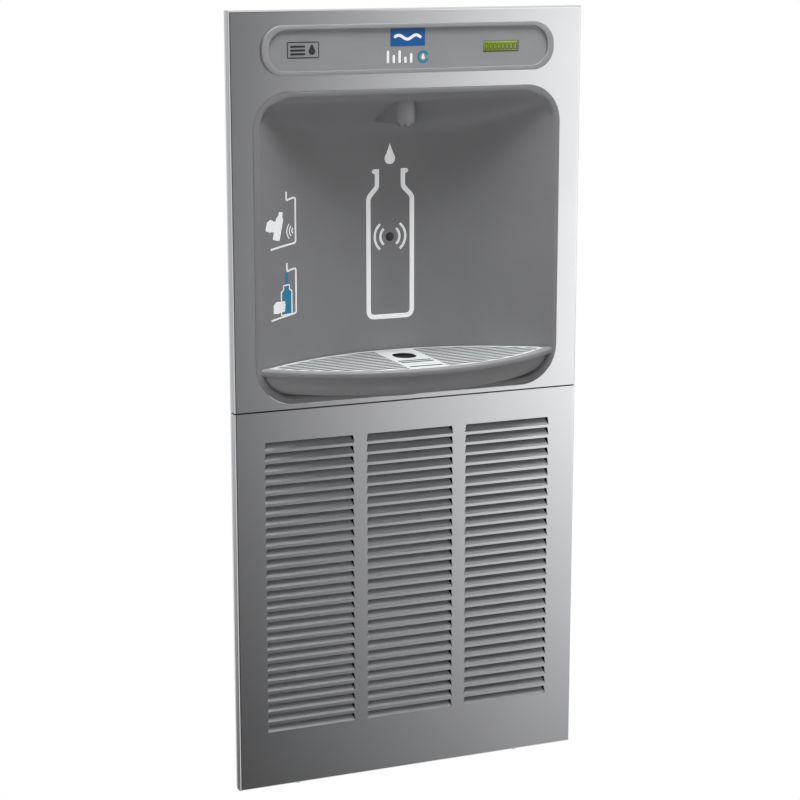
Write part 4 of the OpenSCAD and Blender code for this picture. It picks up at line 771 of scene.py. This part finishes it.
BODY_OF = {name: body for body, names in frame["record"]["behaviour"]["bodies"].items()
           for name in names}
SLOT_OF = {part["node"]: part["material_slot"] for part in frame["record"]["subparts"]}
FINISH_OF = {
    "grate_steel": grate_steel, "strainer_steel": plain_steel, "galvanised_steel": spangle,
    "motor_steel": motor_steel, "compressor_black": enamel, "fin_aluminium": aluminium,
    "copper_tube": copper, "brass": brass, "nozzle_chrome": chrome,
    "alcove_plastic": alcove_plastic, "bezel_plastic": bezel_plastic, "label_film": label_film,
    "counter_window": window_glass, "circuit_board": board_green, "dark_plastic": dark_plastic,
    "pale_plastic": pale_plastic, "filter_blue": filter_blue, "mount_rubber": mount_rubber,
    "jacket_foam": jacket_foam, "water_tube": water_tube, "wire_black": wire_sleeve,
    "panel_steel": panel_steel,
}
print("slots", len(FINISH_OF))

# %% [markdown]
# ## The header
# A grey oval rim is snapped on the steel above the alcove. Inside it lies a printed label
# with the counter's window and the signs.

# %% Rim and label
HEAD_X, HEAD_LOW, HEAD_TOP, HEAD_R = 189, 402.3, 460.7, 27.5
BEZEL_Y, LABEL_Y = -20, -17.6


def oval(name, y, side, rise, radius):
    """A body with the header's outline, smaller by a margin at the sides and one above."""
    return frame_block(name, (side - HEAD_X, HEAD_X - side), y,
                       (HEAD_LOW + rise, HEAD_TOP - rise), radius, radius, 24)


bezel = oval("header_rim", (BEZEL_Y, FRONT), 0, 0, HEAD_R)
combine(bezel, oval("inner", (-30, 0), 8.2, 4.8, 22.7))
round_edges(bezel, lambda p: all(v.y < BEZEL_Y + 0.1 for v in p), 1.9)
complete(bezel, bezel_plastic, "station", "bezel_plastic", "header_bezel", angle=40)
label = oval("header_panel", (LABEL_Y, FRONT), 8.5, 5.1, 22.4)
combine(label, block("window_cut", (94.6, 142), (-30, 0), (424.8, 438.2)))
complete(label, label_film, "station", "label_film", "header_label")

# %% Spout
SPOUT_LOW, SPOUT_TOP, SPOUT_ROOT, SPOUT_BACK = 340, 371, 33, 52
NOSE_R, NOSE_Y = 14, 3
nose = [(NOSE_R * math.sin(math.radians(a)), NOSE_Y - NOSE_R * math.cos(math.radians(a)))
        for a in range(-76, 77, 8)]
spout = plate("spout_body", [(-SPOUT_ROOT, SPOUT_BACK)] + nose + [(SPOUT_ROOT, SPOUT_BACK)],
              SPOUT_LOW, SPOUT_TOP)
round_edges(spout, lambda p: (all(v.z < SPOUT_LOW + 0.01 for v in p)
                              and min(v.y for v in p) < SPOUT_BACK - 1), 1.6, 4)
combine(spout, rod("nozzle_seat", (0, NOSE_Y, SPOUT_LOW), 8.7, 22, sides=48))
complete(spout, alcove_plastic, "station", "alcove_plastic", "spout_housing", angle=30)

# %% [markdown]
# ## Printed signs
# Print has no thickness worth modelling with tools, so its meshes are written point by point:
# lines as ribbons, filled shapes as outlines. Each point takes its depth from the surface
# that carries it, and Solidify gives the ink a tenth of a millimetre.

# %% Drawing with ribbons and outlines
def rounded(points, radius, steps=5):
    """A polyline whose inner corners are rounded."""
    path = [points[0]]
    for before, at, after in zip(points, points[1:], points[2:]):
        a, b, c = Vector(before), Vector(at), Vector(after)
        reach = min(radius, (a - b).length / 2, (c - b).length / 2)
        start, end = b + (a - b).normalized() * reach, b + (c - b).normalized() * reach
        for k in range(steps + 1):
            t = k / steps
            path.append(tuple(start * (1 - t) ** 2 + b * 2 * t * (1 - t) + end * t * t))
    return path + [points[-1]]


def dense(points):
    """The same line with points no more than 2.5 mm apart."""
    path = [points[0]]
    for a, b in zip(points, points[1:]):
        count = max(1, math.ceil(math.dist(a, b) / 2.5))
        path += [(a[0] + (b[0] - a[0]) * k / count, a[1] + (b[1] - a[1]) * k / count)
                 for k in range(1, count + 1)]
    return path


def arc(cx, cz, r, start, end, steps=14):
    """Points of an arc about (cx, cz), between two angles in degrees."""
    return [(cx + r * math.cos(math.radians(start + (end - start) * k / steps)),
             cz + r * math.sin(math.radians(start + (end - start) * k / steps)))
            for k in range(steps + 1)]


def capsule(x0, z0, x1, z1, r):
    """Outline of a short bar with round ends."""
    turn = math.degrees(math.atan2(z1 - z0, x1 - x0))
    return arc(x1, z1, r, turn - 90, turn + 90, 8) + arc(x0, z0, r, turn + 90, turn + 270, 8)


def drop(cx, low, top, half):
    """Outline of a water drop: a round below and a point above."""
    centre = low + half
    side = arc(cx, centre, half, -200, 20, 18)
    tip = [(cx + half * 0.62, centre + half * 0.95), (cx + half * 0.3, centre + half * 1.8),
           (cx, top), (cx - half * 0.3, centre + half * 1.8),
           (cx - half * 0.62, centre + half * 0.95)]
    return side + tip


def printed(name, finish, depth, lines=(), fills=(), ink=0.12):
    """One mesh of ribbons (points, width, closed) and filled outlines on a surface.

    depth(x) gives the surface's Y. The print starts 0.06 mm ahead of it.
    """
    mesh = bmesh.new()
    spot = lambda x, z: mesh.verts.new((x * MM, (depth(x) - 0.06) * MM, z * MM))
    for points, width, closed in lines:
        points = dense(points + points[:1] if closed else points)
        if closed:
            points = points[:-1]
        count, rails = len(points), []
        for k, (x, z) in enumerate(points):
            a = points[(k - 1) % count if closed else max(k - 1, 0)]
            b = points[(k + 1) % count if closed else min(k + 1, count - 1)]
            length = math.dist(a, b) or 1
            nx, nz = -(b[1] - a[1]) / length * width / 2, (b[0] - a[0]) / length * width / 2
            rails.append((spot(x + nx, z + nz), spot(x - nx, z - nz)))
        for k in range(count if closed else count - 1):
            (a, b), (c, d) = rails[k], rails[(k + 1) % count]
            mesh.faces.new((a, b, d, c))
    for outline in fills:
        mesh.faces.new([spot(x, z) for x, z in outline])
    bmesh.ops.recalc_face_normals(mesh, faces=mesh.faces)
    for face in mesh.faces:
        face.normal_update()
        if face.normal.y > 0:
            face.normal_flip()
    obj = modify(from_bmesh(mesh, name), "SOLIDIFY", thickness=ink * MM, offset=1)
    complete(obj, finish, "station", "label_film", angle=30)


# %% Bottle, drop and sensor marks on the curved back
on_wall = lambda x: min(wall_depth(x), BACK_Y)
half_bottle = (rounded([(0, 95.7), (29.2, 95.7), (29.2, 200)], 9, 8)
               + rounded([(29.2, 200), (29.2, 246), (17.4, 258.5), (17.4, 280.5)], 3.5, 6))
for side, name in ((1, "right"), (-1, "left")):
    printed("sign_bottle_" + name, white_print_painted_glow, on_wall,
            lines=[([(x * side, z) for x, z in half_bottle], 5.8, False)],
            fills=[capsule(17.6 * side, 277.8, 21.4 * side, 277.8, 2.8)])
printed("sign_drop", white_print_painted_glow, on_wall, fills=[drop(0, 286.4, 312.6, 7)])
EYE_Z = 196.4
printed("sign_sensor", white_print_painted_glow, on_wall,
        lines=[(arc(0, EYE_Z, r, mid - 50, mid + 50), 3.0, False)
               for r in (12.8, 20.6) for mid in (0, 180)])

# %% Two small pictograms at the left
HOOK = [(36, 65), (36, 54), (41, 56), (50, 57), (50, 2), (10, -2)]


def moved(points, x, z, turn=0.0, about=(0, 0)):
    """Points turned about a place by so many degrees, and then moved."""
    cosine, sine = math.cos(math.radians(turn)), math.sin(math.radians(turn))
    ax, az = about
    return [(x + ax + (px - ax) * cosine - (pz - az) * sine,
             z + az + (px - ax) * sine + (pz - az) * cosine) for px, pz in points]


def small_bottle(x, low, half, top):
    """Outline of a bottle that stands on low and is twice half wide."""
    neck = half * 0.55
    return [(x - half, low), (x + half, low), (x + half, top - 8), (x + neck, top - 5),
            (x + neck, top), (x - neck, top), (x - neck, top - 5), (x - half, top - 8)]


def hand(x, z):
    """A palm and four fingers, laid across a bottle."""
    fingers = [capsule(x + 8, z + 10.2 - 3.3 * k, x + 19 - abs(k - 1.2), z + 10.6 - 3.3 * k, 1.45)
               for k in range(4)]
    palm = [(x, z - 1), (x + 9, z - 2), (x + 10, z + 12), (x + 5, z + 13), (x, z + 9)]
    return fingers + [palm]


PICTO_X, HOLD_Z, FILL_Z = -186, 198, 112
hold = lambda points: moved(points, PICTO_X, HOLD_Z)
tilted = lambda points: moved(points, PICTO_X, HOLD_Z, -14, (22, 20))
fill = lambda points: moved(points, PICTO_X, FILL_Z)
printed("sign_hold", white_print_painted_glow, on_wall,
        lines=[(hold(rounded(HOOK, 3)), 2.2, False)]
        + [(hold(arc(49, 17, r, 135, 225, 8)), 1.5, False) for r in (4.5, 8.5, 12.5)],
        fills=[tilted(f) for f in [small_bottle(22, 8, 5.6, 42)] + hand(2, 18)], ink=0.1)
printed("sign_fill_water", print_water, lambda x: on_wall(x) - 0.02,
        fills=[fill([(32.6, 30), (37.4, 30), (37.4, 54), (32.6, 54)]),
               fill(small_bottle(35, 3, 7.4, 37))], ink=0.08)
printed("sign_fill", white_print_painted_glow, lambda x: on_wall(x) - 0.1,
        lines=[(fill(rounded(HOOK, 3)), 2.2, False),
               (fill(small_bottle(35, 2, 8.4, 38)), 1.5, True)],
        fills=[fill(f) for f in hand(14, 7)], ink=0.1)

# %% Signs in the header
on_label = lambda x: LABEL_Y
badge = rounded([(-4, 455), (18, 455), (18, 434), (-27, 434), (-27, 455), (-5, 455)], 1.2, 3)
printed("badge_blue", print_blue, on_label, fills=[badge[:-1]])
wave = [(-22 + k, 444.5 + 2.4 * math.sin(k / 34 * math.tau * 1.5)) for k in range(36)]
printed("badge_wave", white_print_painted_glow, lambda x: LABEL_Y - 0.12, lines=[(wave, 3.4, False)])
bars = [capsule(-30 + 7.5 * k, 415.5, -30 + 7.5 * k, z, 1.5)
        for k, z in enumerate((427.5, 422.5, 427.5, 420, 424))]
printed("mark_white", white_print_painted_glow, on_label, fills=bars)
printed("mark_blue", print_water, on_label,
        lines=[(arc(15.5, 421, 6.2, 20, 340, 30), 2.6, False)])
printed("mark_blue_drop", white_print_painted_glow, on_label, fills=[drop(15.5, 418, 425.2, 2.1)])
frame_line = [(-157, 423), (-118, 423), (-118, 441), (-157, 441)]
printed("plate_outline", dark_print_and_painted_shadow, on_label, lines=[(dense(frame_line), 1.1, True)],
        fills=[capsule(-152.5, z, -136, z, 1.25) for z in (436, 431.6, 427.2)]
        + [drop(-126.5, 426, 438, 4.2)])

# %% Counter digits, and a painted shadow at the window's edge
LCD_X, LCD_Z = 118.3, 431.5
zero = rounded([(0, 3.6), (1.7, 3.6), (1.7, -3.6), (-1.7, -3.6), (-1.7, 3.6), (0, 3.6)], 0.9, 3)
digits = [([(x + LCD_X - 19.2 + 5.5 * k, z + LCD_Z) for x, z in zero[:-1]], 0.95, True)
          for k in range(8)]
window_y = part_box("lcd_window")[0].y / MM
print("window front", round(window_y, 2))
printed("counter_digits", digit_ink, lambda x: window_y, lines=digits, ink=0.08)
# A dark line along the window's right and lower edges is painted shadow.
shadow_line = [(141.4, 437.8), (141.4, 425.5), (95, 425.5)]
printed("window_shadow", dark_print_and_painted_shadow, on_label, lines=[(shadow_line, 1.1, False)])

# %% Everything else that the CAD already shapes well
BUILT_HERE = {"upper_panel", "lower_panel", "alcove_shell", "basin_bowl", "header_bezel",
              "header_label", "spout_housing"}
NO_BEVEL = {"condenser_coil", "condenser_fins", "evaporator_coil", "plunger_spring",
            "discharge_line", "suction_line", "capillary_tube", "water_tubes", "wire_harness",
            "control_board", "lcd_module", "sensor_module"}
for node in sorted(set(nodes) - BUILT_HERE):
    polished(node, 0 if node in NO_BEVEL else 0.3)
# The grate's upright slot walls get the dark steel: painted shade.
second_finish(bpy.data.objects["drip_grate_dressed"], grate_slot_painted_shade,
              lambda at, normal: abs(normal.z) < 0.5)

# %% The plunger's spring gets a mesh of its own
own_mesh(bpy.data.objects["plunger_spring_dressed"])

# %% [markdown]
# ## The studio
# The station is built into a wall, so a thin white wall stands round the face as a stage,
# with a hole for the machine. Steel shows what it mirrors: a graded card in front of it and
# one beside the left fold, which only mirrored rays see, give the soft fall of light. Sizes
# in this part are in metres.

# %% Helpers for the stage's shaders
def add(tree, kind, **values):
    """A node of a kind, with values on its sockets."""
    node = tree.nodes.new("ShaderNode" + kind)
    for key, value in values.items():
        node.inputs[key].default_value = value
    return node


def emptied(owner, kind):
    """An owner's node tree without its nodes, and the surface socket of a new output."""
    owner.use_nodes = True
    owner.node_tree.nodes.clear()
    return owner.node_tree, add(owner.node_tree, "Output" + kind).inputs["Surface"]


def calculated(tree, operation, a, b, clamp=False):
    """A Math node on a socket and another socket or number."""
    node = add(tree, "Math")
    node.operation, node.use_clamp = operation, clamp
    tree.links.new(a, node.inputs[0])
    if isinstance(b, float):
        node.inputs[1].default_value = b
    else:
        tree.links.new(b, node.inputs[1])
    return node.outputs[0]


def mixed(tree, factor, first, second):
    """The first shader where the factor is 0, and the second where it is 1."""
    node = add(tree, "MixShader")
    for source, target in ((factor, "Fac"), (first, 1), (second, 2)):
        tree.links.new(source, node.inputs[target])
    return node.outputs[0]


def bright_to_sight(tree, dull, bright):
    """The bright shader for rays of the camera, mirrors and glass, and the dull one for light."""
    rays = add(tree, "LightPath")
    seen = calculated(tree, "ADD", rays.outputs["Is Camera Ray"], rays.outputs["Is Glossy Ray"])
    seen = calculated(tree, "ADD", seen, rays.outputs["Is Transmission Ray"], clamp=True)
    return mixed(tree, seen, dull, bright)


def stage_material(name, grey, white=True, one_sided=False):
    """A grey surface, white to sight or not, and clear from behind if it is one-sided."""
    material = bpy.data.materials.new(name)
    tree, output = emptied(material, "Material")
    surface = add(tree, "BsdfDiffuse", Color=(grey, grey, grey, 1)).outputs[0]
    if white:
        surface = bright_to_sight(tree, surface, add(tree, "Emission", Strength=1.0).outputs[0])
    if one_sided:
        surface = mixed(tree, add(tree, "NewGeometry").outputs["Backfacing"], surface,
                        add(tree, "BsdfTransparent").outputs[0])
    tree.links.new(surface, output)
    return material


def upright(name, place, width, height):
    """A plane that stands along the wall and faces the front."""
    let_go()
    bpy.ops.mesh.primitive_plane_add(size=1, location=place, rotation=(math.pi / 2, 0, 0))
    bpy.context.object.scale = (width, height, 1)
    return settle(name)


# %% Wall
WALL_SIZE, HOLE_X, HOLE_Z = 8, 0.2, 0.462
wall = upright("stage_wall", (0, 0.0006, 0), WALL_SIZE, WALL_SIZE)
pick_all(wall)
bpy.ops.mesh.inset(thickness=WALL_SIZE / 2 - HOLE_X)
bpy.ops.transform.resize(value=(1, 1, HOLE_Z / HOLE_X))
bpy.ops.mesh.delete(type="FACE")
done()
wall.data.materials.append(stage_material("stage_wall", 0.9, one_sided=True))
print("wall faces", len(wall.data.polygons), [round(v.co.z, 3) for v in wall.data.vertices])

# %% Floor, which mirrored rays pass
FLOOR_Z = -1.3
let_go()
bpy.ops.mesh.primitive_plane_add(size=12, location=(0, 0, FLOOR_Z))
floor = settle("stage_floor")
floor.visible_glossy = False
floor.data.materials.append(stage_material("stage_floor", 0.6))
print("floor below the face", round(FACE_LOW * MM - FLOOR_Z, 3))

# %% Darkness behind the louvres
# Inside a wall it is dark. A black sheet just behind the lower panel stands for that. It is
# clear from behind, and it moves with the panel, so that it never hides the machine.
shade = upright("stage_shade", (0, 0.0004, -0.2387), 0.452, 0.472)
shade.data.materials.append(stage_material("stage_dark", 0.0, white=False, one_sided=True))
shade.visible_glossy = shade.visible_diffuse = False
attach(shade, "access_panel")
print("dark sheet", [round(v, 3) for v in shade.dimensions])

# %% World, a little brighter above
world = bpy.data.worlds.new("studio")
bpy.context.scene.world = world
tree, output = emptied(world, "World")
soft = add(tree, "Background", Color=(1, 1, 1, 1))
bright = add(tree, "Background", Color=(1, 1, 1, 1), Strength=1.0)
height = add(tree, "SeparateXYZ")
tree.links.new(add(tree, "TexCoord").outputs["Generated"], height.inputs[0])
tree.links.new(map_range(tree, height.outputs["Z"], (0, 1), (0.05, 0.14)),
               soft.inputs["Strength"])
tree.links.new(bright_to_sight(tree, soft.outputs[0], bright.outputs[0]), output)
print("world nodes", len(tree.nodes))


# %% Lamps
def softbox(name, place, target, size, watts):
    """A square lamp that looks at its target and that mirrors don't show."""
    data = bpy.data.lights.new(name, "AREA")
    data.size, data.energy = size, watts
    lamp = bpy.data.objects.new(name, data)
    bpy.context.scene.collection.objects.link(lamp)
    lamp.location = place
    aim = Vector(target) - Vector(place)
    lamp.rotation_euler = aim.to_track_quat("-Z", "Y").to_euler()
    lamp.visible_glossy = False


ALCOVE = (0, 0, 0.1)
softbox("key_above", (0.2, -0.55, 2.9), ALCOVE, 1.2, 80)
softbox("key_ahead", (0.3, -0.75, 2.8), ALCOVE, 1.2, 41)
softbox("fill_left", (-2.2, -2.2, 0.4), ALCOVE, 1.5, 19)
softbox("behind_the_wall", (1.2, 2.6, 1.4), (0, 0.1, 0), 2.0, 70)
print("lamps", len(bpy.data.lights))


# %% Cards for the steel
def mirror_card(name, place, width, height, strength):
    """A card that only mirrored rays see. Its strength depends on X and Z."""
    card = upright(name, place, width, height)
    material = bpy.data.materials.new(name)
    tree, output = emptied(material, "Material")
    glow, at = add(tree, "Emission"), add(tree, "SeparateXYZ")
    tree.links.new(add(tree, "TexCoord").outputs["Object"], at.inputs[0])
    tree.links.new(strength(tree, at.outputs["X"], at.outputs["Z"]), glow.inputs["Strength"])
    tree.links.new(glow.outputs[0], output)
    card.data.materials.append(material)
    for ray in ("camera", "diffuse", "shadow", "transmission", "volume_scatter"):
        setattr(card, "visible_" + ray, False)


def graded(tree, x, z):
    """Dark on the left and below, bright on the right."""
    across = (0.45, 1.7)
    power, gain = 2.05, 0.63
    stops = ((-1.85, 0.2), (-1.2, 0.53), (-0.5, 1.0), (0.6, 0.84))
    low, high = stops[0][0], stops[-1][0]
    ramp = add(tree, "ValToRGB")
    tree.links.new(map_range(tree, z, (low, high)), ramp.inputs["Fac"])
    for _ in stops[2:]:
        ramp.color_ramp.elements.new(0.5)
    for element, (level, share) in zip(ramp.color_ramp.elements, stops):
        element.position = (level - low) / (high - low)
        element.color = (share, share, share, 1)
    curve = calculated(tree, "POWER", map_range(tree, x, across, across), power)
    return calculated(tree, "MULTIPLY", calculated(tree, "MULTIPLY", curve, gain),
                      ramp.outputs["Color"])


def light_above(tree, x, z):
    """What the left fold mirrors of the wall beside it."""
    return map_range(tree, z, (-0.45, 0), (0.19, 0.62))


mirror_card("stage_card", (1.0, -2.6, -0.7), 7.0, 5.4, graded)
mirror_card("stage_side_card", (-0.48, 0.0003, 0), 0.5, 1.4, light_above)
print("materials", len(bpy.data.materials))
